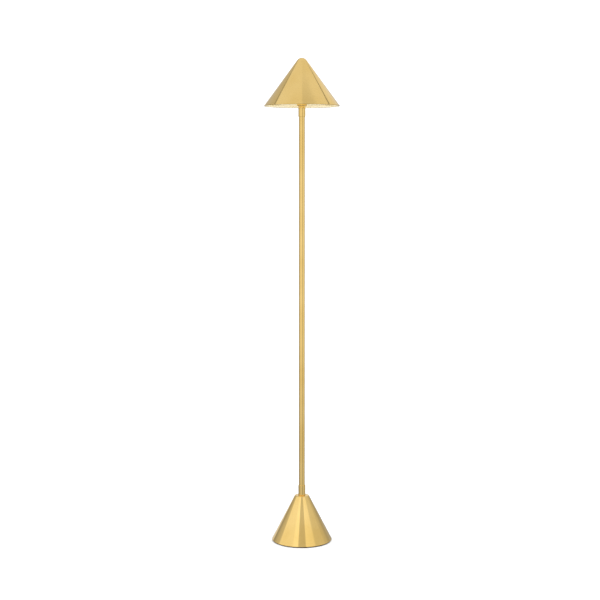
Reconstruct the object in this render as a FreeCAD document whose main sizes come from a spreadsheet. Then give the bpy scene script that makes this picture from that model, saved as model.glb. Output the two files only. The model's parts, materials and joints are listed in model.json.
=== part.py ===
import FreeCAD, Part
import math
import os
import re
import Sketcher

# Floor lamp: a cone shade on a straight tube that stands on a weighted cone.
# Millimetres, +Z up, origin on the floor under the stem, cord side towards +Y.

DRIVING = {
    # whole lamp
    "overallHeight": 1450,
    "runningGap": 0.05,      # radial room between a shaft or thread and its hole
    "solderGap": 0.1,        # room between glued or soldered faces
    # shade
    "shadeRadius": 113.3,    # before its edge is rounded
    "shadeSlope": 36.5,      # half of the cone's angle, degrees
    "shadeNose": 17.5,
    "rimRound": 0.8,
    "shadeWall": 1.2,
    "hemHeight": 6,
    # base
    "padRadius": 88,
    "padThick": 3,
    "padRound": 0.5,
    "plateRadius": 86.2,
    "plateThick": 2.5,
    "baseRadius": 90.9,      # before its edge is rounded
    "baseTopRadius": 21,
    "baseTopZ": 139,
    "baseShoulder": 3,
    "baseWall": 1.5,
    "baseFootRound": 0.4,
    "nippleGap": 0.25,       # round the nipple, in the base's top
    "weightHeight": 66,
    "weightGap": 0.4,
    "weightBoreGap": 0.4,
    "weightRound": 2.5,
    "pocketRadius": 42,
    "pocketDepth": 35,
    "channelWidth": 15,
    "channelHeight": 17,
    "plateScrewCircle": 64,
    "plateScrewShank": 2,
    "plateScrewHead": 4,
    "plateScrewLength": 14,
    "plateScrewTip": 0.6,
    "plateScrewDrive": 1.25,
    "plateScrewDriveDepth": 1.2,
    "plateHoleGap": 0.1,
    # cord entry
    "cordZ": 14,
    "cordBore": 3.7,
    "bushingRadius": 5.4,
    "bushingFlange": 7.5,
    "bushingInnerY": 74,
    "bushingOuterY": 89.5,
    "bushingGrip": 4,        # from the inner end to where the flange may begin
    "bushingBarb": 1,
    "bushingBarbLength": 3,
    # stem and its collars
    "stemRadius": 9,
    "stemWall": 1.5,
    "collarRadius": 10.6,
    "collarHeight": 31,
    "collarGrip": 20,
    "collarChamfer": 0.6,
    "grubRadius": 2,
    "grubHeight": 20,
    "grubDrive": 2,
    "grubDriveDepth": 1,
    "grubSink": 0.2,
    # threaded tubes and nuts, M10 by 1
    "threadRadius": 4.95,
    "threadBore": 3.5,
    "threadChamfer": 0.5,
    "nippleFootZ": 30,
    "nippleGrip": 9,
    "nutFlats": 14,
    "nutHeight": 5,
    "cupNutHeight": 4,
    "washerRadius": 13,
    "washerThick": 2,
    "washerGap": 0.2,
    # terminal block and leads
    "blockWidth": 28,
    "blockDepth": 15,
    "blockHeight": 14,
    "blockY": 27,
    "poleSpacing": 9,
    "poleHole": 1.8,
    "poleScrew": 1.7,
    "poleWellGap": 0.3,
    "leadRadius": 2.5,
    "leadBend": 15,
    "leadZ": 12,
    "earthLeadRadius": 1.2,
    "earthX": 9,
    "earthY": 24,
    "earthBend": 8,
    "earthScrewRadius": 2,
    "earthScrewLength": 12,
    "earthHeadRadius": 3.6,
    "earthHeadHeight": 2.6,
    "earthHeadRound": 1,
    "earthWasherRadius": 4.6,
    "earthWasherThick": 1,
    "earthHoleDepth": 10,
    # socket cup, switch and lampholder
    "cupLift": 0.2,          # the cup's foot stands this far above the shade's rim
    "cupRadius": 15,
    "cupWall": 0.8,
    "cupHeight": 25.5,
    "cupRound": 1.6,
    "cupInnerRound": 0.8,
    "cupNippleRise": 1,      # how far the nipple stands out of its nut
    "housingRadius": 13.9,
    "housingRecess": 9.5,    # round the nut in the housing's foot
    "housingRecessGap": 1.5,
    "housingChamfer": 1.2,
    "housingFloor": 4,       # under the spindle's axis
    "leadGap": 0.4,
    "leadEndGap": 0.2,
    "switchLift": 15.5,      # the spindle's height in the cup
    "spindleRadius": 1.6,
    "spindleInner": 7.5,
    "spindleOuter": 28,
    "spindleChamfer": 0.3,
    "spindleHoleGap": 0.8,
    "spindleEndGap": 0.5,
    "knobRadius": 5.5,
    "knobLength": 14,
    "knobStart": 16.5,
    "knobNeck": 1.5,         # how far the neck is set in
    "knobNeckLength": 2,
    "knobCone": 1,
    "knobRound": 1.2,
    "knobEndGap": 0.2,
    "fluteRadius": 0.9,
    "fluteOut": 0.5,
    "holderFoot": 14.8,
    "holderShoulder": 12.5,
    "holderThread": 13.4,
    "holderHeight": 27,
    "holderBore": 7.6,
    "holderFloor": 4,
    "holderThroat": 6,
    "holderChamfer": 0.6,
    "bulbGap": 1.5,          # over the lampholder's floor
    "shellRadius": 7.5,
    "shellWall": 0.35,
    "shellHole": 4.5,
    "tongueFoot": 4.5,
    "tongueBend": 2.5,
    "tongueTop": 3,
    "tongueRise": 3.4,
    "tongueThick": 0.5,
    "tongueWidth": 4,
    "ringRadius": 18,
    "ringHeight": 6,
    "ringFlange": 2,
    "ringStep": 2.5,
    "notchRadius": 1.1,
    "notchInset": 1.9,
    "carrierThick": 1.5,
    "carrierRadius": 19.5,
    "armWidth": 8,
    "armOverlap": 2,
    "tabAngle": 14,
    "tabHeight": 16,
    # bulb
    "capRadius": 6.95,
    "capHeight": 22,
    "capWall": 0.5,
    "capTip": 3,
    "capTipChamfer": 0.6,
    "capTipHeight": 1.4,
    "capSeat": 2.6,
    "capShoulder": 4,
    "capShoulderSlope": 1,
    "globeRadius": 22.5,
    "globeWall": 1,
    "globeNeck": 16,
    "bulbLength": 78,
    "bulbCollarFoot": 9,
    "bulbCollarStep": 3,
    "bulbCollarPlug": 8,
    "bulbCollarEdge": 2,
}

# Heights that follow from the driving dimensions, written for the sheet to work out.
RIM_Z = "(overallHeight - shadeRadius / tan(shadeSlope) + shadeNose / sin(shadeSlope) - shadeNose)"
CUP_Z = f"({RIM_Z} + cupLift)"
UPPER_COLLAR_Z = f"({CUP_Z} - collarHeight)"
PLATE_TOP_Z = "(padThick + plateThick)"
WEIGHT_Z = f"({PLATE_TOP_Z} + solderGap)"
POCKET_TOP_Z = f"({WEIGHT_Z} + pocketDepth)"
SPINDLE_FLOOR_Z = f"({CUP_Z} + switchLift - housingFloor - leadEndGap)"
EARTH_SCREW_Z = f"({POCKET_TOP_Z} - earthHeadHeight - earthWasherThick - solderGap)"
HOLDER_Z = f"({CUP_Z} + cupHeight + solderGap)"
CARRIER_Z = f"({HOLDER_Z} + holderShoulder + solderGap)"
BULB_Z = f"({HOLDER_Z} + holderFloor + bulbGap)"

# Slope of the base's wall: what its radius loses for each millimetre of height.
BASE_FALL = "((baseRadius - baseTopRadius) / (baseTopZ - padThick))"
BASE_WALL_LEVEL = f"(baseWall * sqrt(1 + {BASE_FALL} * {BASE_FALL}))"
SHADE_WALL_LEVEL = "(shadeWall / cos(shadeSlope))"

UP = FreeCAD.Vector(0, 0, 1)
ACROSS = FreeCAD.Vector(1, 0, 0)
DEPTH = FreeCAD.Vector(0, 1, 0)

doc = FreeCAD.newDocument("FloorLamp")
sheet = doc.addObject("Spreadsheet::Sheet", "Sizes")
for row, (alias, number) in enumerate(DRIVING.items(), start=1):
    sheet.set(f"A{row}", alias)
    sheet.set(f"B{row}", str(number))
    sheet.setAlias(f"B{row}", alias)
doc.recompute()

nodes = []    # every sub-part that gets a file of its own


# ---- reading and binding sizes ----

def formula(text):
    """The same text with the sheet's name before each alias."""
    def named(word):
        return f"Sizes.{word.group()}" if word.group() in DRIVING else word.group()
    return re.sub(r"[A-Za-z]\w*", named, str(text))


def size(text):
    """A formula's value now, as a number."""
    return float(sheet.evalExpression(formula(text)))


def bind(thing, prop, text):
    """Sets a property and keeps it bound to the sheet."""
    thing.setExpression(prop, formula(text))


def put(thing, x="0", y="0", z="0", turn=0, about=UP):
    """Places a sub-part, with each coordinate bound to the sheet."""
    thing.Placement = FreeCAD.Placement(FreeCAD.Vector(size(x), size(y), size(z)),
                                        FreeCAD.Rotation(about, turn))
    for axis, text in (("x", x), ("y", y), ("z", z)):
        bind(thing, f".Placement.Base.{axis}", text)


# ---- bodies, sketches and features ----

def newBody(name):
    body = doc.addObject("PartDesign::Body", name)
    body.Label = name
    nodes.append(body)
    return body


def originFeature(body, role):
    return next(f for f in body.Origin.OriginFeatures if f.Role == role)


def newSketch(body, plane, shift=("0", "0", "0")):
    """An empty sketch on one of the body's own planes; shift is along the sketch's x, y, z."""
    sketch = body.newObject("Sketcher::SketchObject", "Sketch")
    sketch.AttachmentSupport = [(originFeature(body, plane), "")]
    sketch.MapMode = "FlatFace"
    for axis, text in zip("xyz", shift):
        if text != "0":
            bind(sketch, f".AttachmentOffset.Base.{axis}", text)
    return sketch


def pinPoint(sketch, geometry, end, x, y):
    """Fixes one point of a sketch at coordinates that follow the sheet."""
    for kind, text, axis in (("DistanceX", x, -2), ("DistanceY", y, -1)):
        value = size(text)
        if abs(value) < 1e-9:
            sketch.addConstraint(Sketcher.Constraint("PointOnObject", geometry, end, axis))
        else:
            constraint = Sketcher.Constraint(kind, -1, 1, geometry, end, value)
            bind(sketch, f"Constraints[{sketch.addConstraint(constraint)}]", text)


def arcThrough(start, finish, radius, side):
    """The short arc of a radius between two points; side says which way it bulges."""
    chord = finish - start
    middle = (start + finish) * 0.5
    across = FreeCAD.Vector(chord.y, -chord.x, 0).normalize()
    rise = radius - (radius ** 2 - (chord.Length / 2) ** 2) ** 0.5
    return Part.Arc(start, middle + across * rise * side, finish)


def outline(sketch, corners, closed=True):
    """Straight sides through the corners. A corner with a third entry, (radius, side),
    starts an arc to the next corner in place of a straight side."""
    points = [FreeCAD.Vector(size(c[0]), size(c[1]), 0) for c in corners]
    count = len(corners) if closed else len(corners) - 1
    ends = []
    for i in range(count):
        start, finish = points[i], points[(i + 1) % len(points)]
        if len(corners[i]) == 3:
            radius, side = corners[i][2]
            geometry = sketch.addGeometry(arcThrough(start, finish, size(radius), side))
            flipped = (sketch.getPoint(geometry, 1) - start).Length > 1e-6
            ends.append((geometry, 2, 1) if flipped else (geometry, 1, 2))
            index = sketch.addConstraint(Sketcher.Constraint("Radius", geometry, size(radius)))
            bind(sketch, f"Constraints[{index}]", radius)
        else:
            ends.append((sketch.addGeometry(Part.LineSegment(start, finish)), 1, 2))
    for i, (geometry, first, last) in enumerate(ends):
        pinPoint(sketch, geometry, first, corners[i][0], corners[i][1])
        if closed or i + 1 < len(ends):
            following, nextFirst, _ = ends[(i + 1) % len(ends)]
            join = Sketcher.Constraint("Coincident", geometry, last, following, nextFirst)
            sketch.addConstraint(join)
        else:
            pinPoint(sketch, geometry, last, corners[-1][0], corners[-1][1])
    return sketch


def circle(sketch, x, y, radius):
    """A circle with its centre and radius bound to the sheet."""
    centre = FreeCAD.Vector(size(x), size(y), 0)
    geometry = sketch.addGeometry(Part.Circle(centre, UP, size(radius)))
    pinPoint(sketch, geometry, 3, x, y)
    index = sketch.addConstraint(Sketcher.Constraint("Radius", geometry, size(radius)))
    bind(sketch, f"Constraints[{index}]", radius)
    return sketch


def hexagon(sketch, flats, height="0"):
    """A regular hexagon by its width across flats, raised up the sketch if a height is given."""
    half = f"({flats} / 2)"
    point = f"({flats} / sqrt(3))"
    corners = [(point, height), (f"{point} / 2", f"{height} + {half}"),
               (f"0 - {point} / 2", f"{height} + {half}"), (f"0 - {point}", height),
               (f"0 - {point} / 2", f"{height} - {half}"), (f"{point} / 2", f"{height} - {half}")]
    return outline(sketch, corners)


def rectangle(sketch, left, bottom, right, top):
    return outline(sketch, [(left, bottom), (right, bottom), (right, top), (left, top)])


def revolve(body, sketch, kind="Revolution", angle=360):
    feature = body.newObject(f"PartDesign::{kind}", kind)
    feature.Profile = sketch
    feature.ReferenceAxis = (sketch, ["V_Axis"])
    feature.Angle = angle
    return feature


def turned(body, corners, kind="Revolution", shift=("0", "0", "0")):
    """A solid, or with Groove a cut, turned about the sketch's upright axis."""
    return revolve(body, outline(newSketch(body, "XZ_Plane", shift), corners), kind)


def pad(body, sketch, length):
    feature = body.newObject("PartDesign::Pad", "Pad")
    feature.Profile = sketch
    bind(feature, "Length", length)
    return feature


def pocket(body, sketch, depth, reverse=False, bothWays=False):
    feature = body.newObject("PartDesign::Pocket", "Pocket")
    feature.Profile = sketch
    bind(feature, "Length", depth)
    feature.Reversed = reverse
    if bothWays:
        feature.SideType = "Symmetric"
    return feature


def polar(body, features, count):
    """Repeats features evenly about the body's upright axis."""
    pattern = body.newObject("PartDesign::PolarPattern", "PolarPattern")
    pattern.Originals = features
    pattern.Axis = (originFeature(body, "Z_Axis"), [""])
    pattern.Angle = 360
    pattern.Occurrences = count
    body.Tip = pattern
    return pattern


def row(body, features, role, span, count):
    """Repeats features evenly along one of the body's axes, over a total span."""
    pattern = body.newObject("PartDesign::LinearPattern", "LinearPattern")
    pattern.Originals = features
    pattern.Direction = (originFeature(body, role), [""])
    bind(pattern, "Length", span)
    pattern.Occurrences = count
    body.Tip = pattern
    return pattern


def roundEdges(body, picks, radius, kind="Fillet"):
    """Fillets or chamfers the body's circular edges that have these radii and heights."""
    doc.recompute()
    base = body.Tip
    wanted = [(size(r), size(z)) for r, z in picks]
    names = []
    for number, edge in enumerate(base.Shape.Edges, start=1):
        if not edge.Degenerated and isinstance(edge.Curve, Part.Circle):
            ring = (edge.Curve.Radius, edge.Curve.Center.z)
            if any(abs(ring[0] - r) < 0.01 and abs(ring[1] - z) < 0.01 for r, z in wanted):
                names.append(f"Edge{number}")
    if len(names) < len(picks):
        raise SystemExit(f"{body.Label}: found {len(names)} edges of {len(picks)}")
    feature = body.newObject(f"PartDesign::{kind}", kind)
    feature.Base = (base, names)
    bind(feature, "Radius" if kind == "Fillet" else "Size", radius)
    return feature


def tube(body, outer, inner, height):
    """A plain round tube from z = 0 up."""
    return turned(body, [(inner, "0"), (outer, "0"), (outer, height), (inner, height)])


# ---- base ----

def makeBasePad():
    body = newBody("base_pad")
    pad(body, circle(newSketch(body, "XY_Plane"), "0", "0", "padRadius"), "padThick")
    roundEdges(body, [("padRadius", "0"), ("padRadius", "padThick")], "padRound")
    put(body)


def makeBasePlate():
    body = newBody("base_plate")
    pad(body, circle(newSketch(body, "XY_Plane"), "0", "0", "plateRadius"), "plateThick")
    shank = "plateScrewShank + plateHoleGap"
    seat = [("0", "0"), ("plateScrewHead + plateHoleGap", "0"), (shank, "plateScrewHead / 2"),
            (shank, "plateThick"), ("0", "plateThick")]
    hole = turned(body, seat, "Groove", shift=("plateScrewCircle", "0", "0"))
    polar(body, [hole], 3)
    put(body, z="padThick", turn=-90)


def makePlateScrews():
    body = newBody("plate_screws")
    profile = [("0", "0"), ("plateScrewHead", "0"), ("plateScrewShank", "plateScrewHead / 2"),
               ("plateScrewShank", "plateScrewLength - plateScrewTip"),
               ("plateScrewShank - plateScrewTip", "plateScrewLength"), ("0", "plateScrewLength")]
    screw = turned(body, profile, shift=("plateScrewCircle", "0", "0"))
    socket = circle(newSketch(body, "XY_Plane"), "plateScrewCircle", "0", "plateScrewDrive")
    drive = pocket(body, socket, "plateScrewDriveDepth", reverse=True)
    polar(body, [screw, drive], 3)
    put(body, z="padThick", turn=-90)


def makeBaseWeight():
    body = newBody("base_weight")
    foot = f"(baseRadius - ({WEIGHT_Z} - padThick) * {BASE_FALL} - {BASE_WALL_LEVEL} - weightGap)"
    head = f"({foot} - weightHeight * {BASE_FALL})"
    bore = "threadRadius + weightBoreGap"
    turned(body, [("pocketRadius", "0"), (foot, "0"), (head, "weightHeight"), (bore, "weightHeight"),
                  (bore, "pocketDepth"), ("pocketRadius", "pocketDepth")])
    roundEdges(body, [(head, "weightHeight"), (foot, "0")], "weightRound")
    channel = rectangle(newSketch(body, "XZ_Plane"), "0 - channelWidth / 2", "0",
                        "channelWidth / 2", "channelHeight")
    pocket(body, channel, "baseRadius * 1.2")
    screwHole = circle(newSketch(body, "XY_Plane"), "0", "0 - plateScrewCircle",
                       "plateScrewShank + runningGap")
    hole = pocket(body, screwHole, "plateScrewLength", reverse=True)
    polar(body, [hole], 3)
    earthHole = circle(newSketch(body, "XY_Plane", ("0", "0", "pocketDepth")), "earthX", "0 - earthY",
                       "earthScrewRadius + runningGap")
    body.Tip = pocket(body, earthHole, "earthHoleDepth", reverse=True)
    put(body, z=WEIGHT_Z)


def makeBaseCone():
    body = newBody("base_cone")
    height = "(baseTopZ - padThick)"
    hole = "threadRadius + nippleGap"
    innerTop = f"(baseTopRadius + baseWall * {BASE_FALL} - {BASE_WALL_LEVEL})"
    turned(body, [("baseRadius", "0"), ("baseTopRadius", height), (hole, height),
                  (hole, f"{height} - baseWall"),
                  (innerTop, f"{height} - baseWall"), (f"baseRadius - {BASE_WALL_LEVEL}", "0")])
    roundEdges(body, [("baseTopRadius", height)], "baseShoulder")
    roundEdges(body, [("baseRadius", "0")], "baseFootRound")
    entry = circle(newSketch(body, "XZ_Plane"), "0", "cordZ - padThick", "bushingRadius + runningGap")
    pocket(body, entry, "baseRadius * 1.2")
    put(body, z="padThick")


def makeCordBushing():
    """A black bush whose flange is trimmed to the sloping wall it seats on."""
    parts = []

    def barrel(name, radius, start, finish):
        piece = doc.addObject("Part::Cylinder", name)
        bind(piece, "Radius", radius)
        bind(piece, "Height", f"{finish} - ({start})")
        put(piece, y=start, z="cordZ", turn=-90, about=ACROSS)
        return piece

    wall = doc.addObject("Part::Cone", "BushingWall")
    bind(wall, "Radius1", f"baseRadius + {BASE_FALL} * padThick + runningGap")
    bind(wall, "Radius2", "baseTopRadius + runningGap")
    bind(wall, "Height", "baseTopZ")
    head = doc.addObject("Part::Cut", "BushingHead")
    head.Base = barrel("BushingFlange", "bushingFlange", "bushingInnerY + bushingGrip",
                       "bushingOuterY")
    head.Tool = wall
    parts.append(head)
    parts.append(barrel("BushingSleeve", "bushingRadius", "bushingInnerY", "bushingOuterY"))
    parts.append(barrel("BushingBarb", "bushingRadius + bushingBarb", "bushingInnerY",
                        "bushingInnerY + bushingBarbLength"))
    fused = doc.addObject("Part::MultiFuse", "BushingSolid")
    fused.Shapes = parts
    bush = doc.addObject("Part::Cut", "cord_bushing")
    bush.Base = fused
    bush.Tool = barrel("BushingBore", "cordBore", "bushingInnerY - 1", "bushingOuterY + 1")
    bush.Label = "cord_bushing"
    nodes.append(bush)


# ---- inside the base ----

def makeTerminalBlock():
    body = newBody("terminal_block")
    pad(body, rectangle(newSketch(body, "XY_Plane"), "0 - blockWidth / 2", "0 - blockDepth / 2",
                        "blockWidth / 2", "blockDepth / 2"), "blockHeight")
    through = circle(newSketch(body, "XZ_Plane"), "0 - poleSpacing", "leadZ - padThick - plateThick",
                     "poleHole")
    wireHole = pocket(body, through, "blockDepth + 2", bothWays=True)
    wells = newSketch(body, "XY_Plane", ("0", "0", "blockHeight"))
    for y in ("blockDepth / 4", "0 - blockDepth / 4"):
        circle(wells, "0 - poleSpacing", y, "poleScrew + poleWellGap")
    well = pocket(body, wells, "blockHeight / 3")
    row(body, [wireHole, well], "X_Axis", "poleSpacing * 2", 3)
    put(body, y="blockY", z=f"{PLATE_TOP_Z} + solderGap")


def makeTerminalScrews():
    body = newBody("terminal_screws")
    heads = newSketch(body, "XY_Plane")
    for y in ("blockDepth / 4", "0 - blockDepth / 4"):
        circle(heads, "0 - poleSpacing", y, "poleScrew")
    screws = pad(body, heads, "blockHeight / 4")
    row(body, [screws], "X_Axis", "poleSpacing * 2", 3)
    put(body, y="blockY", z=f"{PLATE_TOP_Z} + solderGap + blockHeight * 2 / 3 + runningGap")


def makeEarthScrew():
    body = newBody("earth_screw")
    under = "earthHeadHeight + earthWasherThick"
    turned(body, [("0", "0"), ("earthHeadRadius", "0"), ("earthHeadRadius", "earthHeadHeight"),
                  ("earthWasherRadius", "earthHeadHeight"), ("earthWasherRadius", under),
                  ("earthScrewRadius", under), ("earthScrewRadius", "earthScrewLength"),
                  ("0", "earthScrewLength")])
    roundEdges(body, [("earthHeadRadius", "0")], "earthHeadRound")
    put(body, x="earthX", y="0 - earthY", z=EARTH_SCREW_Z)


def makeLead(name, radius, startY, startZ, bend, runY, topZ, x):
    """A lead in an upright plane: level from the terminal block, then one bend upwards."""
    body = newBody(name)
    path = newSketch(body, "YZ_Plane")
    outline(path, [(startY, startZ), (f"{runY} + {bend}", startZ, (bend, -1)),
                   (runY, f"{startZ} + {bend}"), (runY, topZ)], closed=False)
    section = circle(newSketch(body, "XZ_Plane", ("0", "0", f"0 - ({startY})")), "0", startZ, radius)
    pipe = body.newObject("PartDesign::AdditivePipe", "AdditivePipe")
    pipe.Profile = section
    pipe.Spine = (path, [])
    put(body, x=x)
    level = size(startY) - size(runY) - size(bend)
    upright = size(topZ) - size(startZ) - size(bend)
    length = level + math.pi / 2 * size(bend) + upright
    doc.recompute()
    return body.Shape.Volume / (math.pi * size(radius) ** 2 * length)


# ---- fasteners of the base ----

def makeBaseFasteners():
    nipple = newBody("base_nipple")
    height = "(baseTopZ + nippleGrip - nippleFootZ)"
    tube(nipple, "threadRadius", "threadBore", height)
    roundEdges(nipple, [("threadRadius", "0"), ("threadRadius", height)], "threadChamfer", "Chamfer")
    put(nipple, z="nippleFootZ")
    washer = newBody("base_washer")
    tube(washer, "washerRadius", "threadRadius + washerGap", "washerThick")
    put(washer, z=f"{POCKET_TOP_Z} - washerThick - runningGap")
    makeNut("base_nut", "nutHeight", f"{POCKET_TOP_Z} - washerThick - nutHeight - runningGap * 2")


def makeNut(name, height, z):
    body = newBody(name)
    pad(body, hexagon(newSketch(body, "XY_Plane"), "nutFlats"), height)
    pocket(body, circle(newSketch(body, "XY_Plane"), "0", "0", "threadRadius + runningGap"),
           f"{height} * 3", bothWays=True)
    put(body, z=z)


# ---- stem ----

def makeCollar(name, z, turn):
    """A turned sleeve: a threaded hole at its foot and a socket for the stem above it."""
    body = newBody(name)
    thread = "threadRadius + runningGap"
    socket = "stemRadius + runningGap"
    floor = "collarHeight - collarGrip"
    turned(body, [(thread, "0"), ("collarRadius", "0"), ("collarRadius", "collarHeight"),
                  (socket, "collarHeight"), (socket, floor), (thread, floor)])
    roundEdges(body, [("collarRadius", "0"), ("collarRadius", "collarHeight")], "collarChamfer", "Chamfer")
    hole = circle(newSketch(body, "XZ_Plane"), "0", "grubHeight", "grubRadius + runningGap")
    pocket(body, hole, "collarRadius * 1.5")
    put(body, z=z, turn=turn, about=DEPTH)


def makeCollarScrews():
    """Two grub screws, one in the back of each collar."""
    body = newBody("collar_screws")
    length = "(collarRadius - stemRadius - grubSink)"
    back = ("0", "0", "0 - (stemRadius + runningGap * 2) - collarRadius + stemRadius")
    grub = pad(body, circle(newSketch(body, "XZ_Plane", back), "0", "grubHeight", "grubRadius"), length)
    drive = pocket(body, hexagon(newSketch(body, "XZ_Plane", back), "grubDrive", "grubHeight"),
                   "grubDriveDepth", reverse=True)
    row(body, [grub, drive], "Z_Axis", f"{UPPER_COLLAR_Z} + collarHeight - grubHeight * 2 - baseTopZ", 2)
    put(body, z="baseTopZ")


def makeStem():
    body = newBody("stem_tube")
    start = "(baseTopZ + collarHeight - collarGrip + solderGap)"
    finish = f"({UPPER_COLLAR_Z} + collarGrip - solderGap)"
    tube(body, "stemRadius", "stemRadius - stemWall", f"{finish} - {start}")
    put(body, z=start)


# ---- socket, switch and lampholder ----

def makeUpperNipple():
    body = newBody("upper_nipple")
    height = "(nippleGrip + cupWall + cupNutHeight + cupNippleRise)"
    tube(body, "threadRadius", "threadBore", height)
    roundEdges(body, [("threadRadius", "0"), ("threadRadius", height)], "threadChamfer", "Chamfer")
    put(body, z=f"{CUP_Z} - nippleGrip")


def makeSocketCup():
    body = newBody("socket_cup")
    inner = "cupRadius - cupWall"
    turned(body, [("threadRadius + runningGap", "0"), ("cupRadius", "0"), ("cupRadius", "cupHeight"),
                  (inner, "cupHeight"), (inner, "cupWall"), ("threadRadius + runningGap", "cupWall")])
    roundEdges(body, [("cupRadius", "0")], "cupRound")
    roundEdges(body, [(inner, "cupWall")], "cupInnerRound")
    hole = circle(newSketch(body, "XZ_Plane"), "0", "switchLift", "spindleRadius + spindleHoleGap")
    pocket(body, hole, "cupRadius * 1.5", reverse=True)
    put(body, z=CUP_Z)


def makeSwitchHousing():
    body = newBody("switch_housing")
    foot = "(cupWall + solderGap)"
    recess = "(cupWall + cupNutHeight + housingRecessGap)"
    floor = "switchLift - housingFloor"
    lead = "leadRadius + leadGap"
    turned(body, [("housingRecess", foot), ("housingRadius - housingChamfer", foot),
                  ("housingRadius", f"{foot} + housingChamfer"), ("housingRadius", "cupHeight"),
                  ("0", "cupHeight"), ("0", floor), (lead, floor), (lead, recess), ("housingRecess", recess)])
    bore = circle(newSketch(body, "XZ_Plane", ("0", "0", "spindleInner - spindleEndGap")), "0", "switchLift",
                  "spindleRadius + runningGap")
    pocket(body, bore, "housingRadius", reverse=True)
    put(body, z=CUP_Z)


def makeSwitchKey():
    """The spindle and the fluted knob that turn together; their axis points to the front."""
    spindle = newBody("switch_spindle")
    length = "(spindleOuter - spindleInner)"
    pad(spindle, circle(newSketch(spindle, "XY_Plane"), "0", "0", "spindleRadius"), length)
    roundEdges(spindle, [("spindleRadius", "0"), ("spindleRadius", length)], "spindleChamfer", "Chamfer")
    put(spindle, y="0 - spindleInner", z=f"{CUP_Z} + switchLift", turn=90, about=ACROSS)

    knob = newBody("switch_knob")
    depth = "(spindleOuter - knobStart + knobEndGap)"
    hole = "spindleRadius + runningGap"
    neck = "knobRadius - knobNeck"
    grip = "knobNeckLength + knobCone"
    turned(knob, [(hole, "0"), (neck, "0"), (neck, "knobNeckLength"), ("knobRadius", grip),
                  ("knobRadius", "knobLength"), ("0", "knobLength"), ("0", depth), (hole, depth)])
    roundEdges(knob, [("knobRadius", "knobLength")], "knobRound")
    flute = circle(newSketch(knob, "XY_Plane", ("0", "0", grip)), "knobRadius + fluteOut", "0", "fluteRadius")
    cut = pocket(knob, flute, "knobLength", reverse=True)
    polar(knob, [cut], 12)
    put(knob, y="0 - knobStart", z=f"{CUP_Z} + switchLift", turn=90, about=ACROSS)


def makeLampholder():
    body = newBody("lampholder_body")
    turned(body, [("holderThroat", "0"), ("holderFoot", "0"), ("holderFoot", "holderShoulder"),
                  ("holderThread", "holderShoulder"), ("holderThread", "holderHeight"),
                  ("holderBore", "holderHeight"), ("holderBore", "holderFloor"),
                  ("holderThroat", "holderFloor")])
    roundEdges(body, [("holderFoot", "0"), ("holderThread", "holderHeight")], "holderChamfer", "Chamfer")
    put(body, z=HOLDER_Z)

    shell = newBody("screw_shell")
    inner = "(shellRadius - shellWall)"
    tall = "(holderHeight - holderFloor - bulbGap)"
    turned(shell, [("shellHole", "0"), ("shellRadius", "0"), ("shellRadius", tall), (inner, tall),
                   (inner, "shellWall"), ("shellHole", "shellWall")])
    put(shell, z=f"{HOLDER_Z} + holderFloor + solderGap")

    tongue = newBody("centre_contact")
    foot = "tongueThick * 0.4"
    top = f"{foot} + tongueRise"
    side = [("0 - tongueFoot", foot), ("0 - tongueBend", foot), ("tongueThick * 2", top), ("tongueTop", top),
            ("tongueTop", f"{top} + tongueThick"), ("tongueThick * 1.6", f"{top} + tongueThick"),
            ("0 - tongueBend - tongueThick * 0.4", f"{foot} + tongueThick"),
            ("0 - tongueFoot", f"{foot} + tongueThick")]
    strip = pad(tongue, outline(newSketch(tongue, "XZ_Plane"), side), "tongueWidth")
    strip.SideType = "Symmetric"
    put(tongue, z=HOLDER_Z)


def makeShadeRing():
    body = newBody("shade_ring")
    turned(body, [("holderThread + runningGap", "0"), ("ringRadius", "0"), ("ringRadius", "ringFlange"),
                  ("ringRadius - ringStep", "ringFlange"), ("ringRadius - ringStep", "ringHeight"),
                  ("holderThread + runningGap", "ringHeight")])
    notch = circle(newSketch(body, "XY_Plane"), "ringRadius - notchInset", "0", "notchRadius")
    cut = pocket(body, notch, "ringHeight * 3", bothWays=True)
    polar(body, [cut], 12)
    put(body, z=f"{CARRIER_Z} + carrierThick + solderGap")


def makeShadeCarrier():
    """A flat ring with three arms, each ending in a tab that lies along the shade's wall."""
    body = newBody("shade_carrier")
    reach = f"(shadeRadius - ({CARRIER_Z} - {RIM_Z}) * tan(shadeSlope) - {SHADE_WALL_LEVEL} - solderGap * 2)"
    fall = "tan(shadeSlope)"
    thick = "(carrierThick / cos(shadeSlope))"
    tube(body, "carrierRadius", "holderThread + runningGap", "carrierThick")
    arm = pad(body, rectangle(newSketch(body, "XY_Plane"), "carrierRadius - armOverlap", "0 - armWidth / 2",
                              f"{reach} - {thick}", "armWidth / 2"), "carrierThick")
    side = outline(newSketch(body, "XZ_Plane"),
                   [(f"{reach} - {thick}", "0"), (reach, "0"), (f"{reach} - tabHeight * {fall}", "tabHeight"),
                    (f"{reach} - {thick} - tabHeight * {fall}", "tabHeight")])
    tab = revolve(body, side, angle=size("tabAngle"))
    tab.Midplane = True
    bind(tab, "Angle", "tabAngle")
    polar(body, [arm, tab], 3)
    put(body, z=CARRIER_Z, turn=90)


# ---- shade ----

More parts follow.
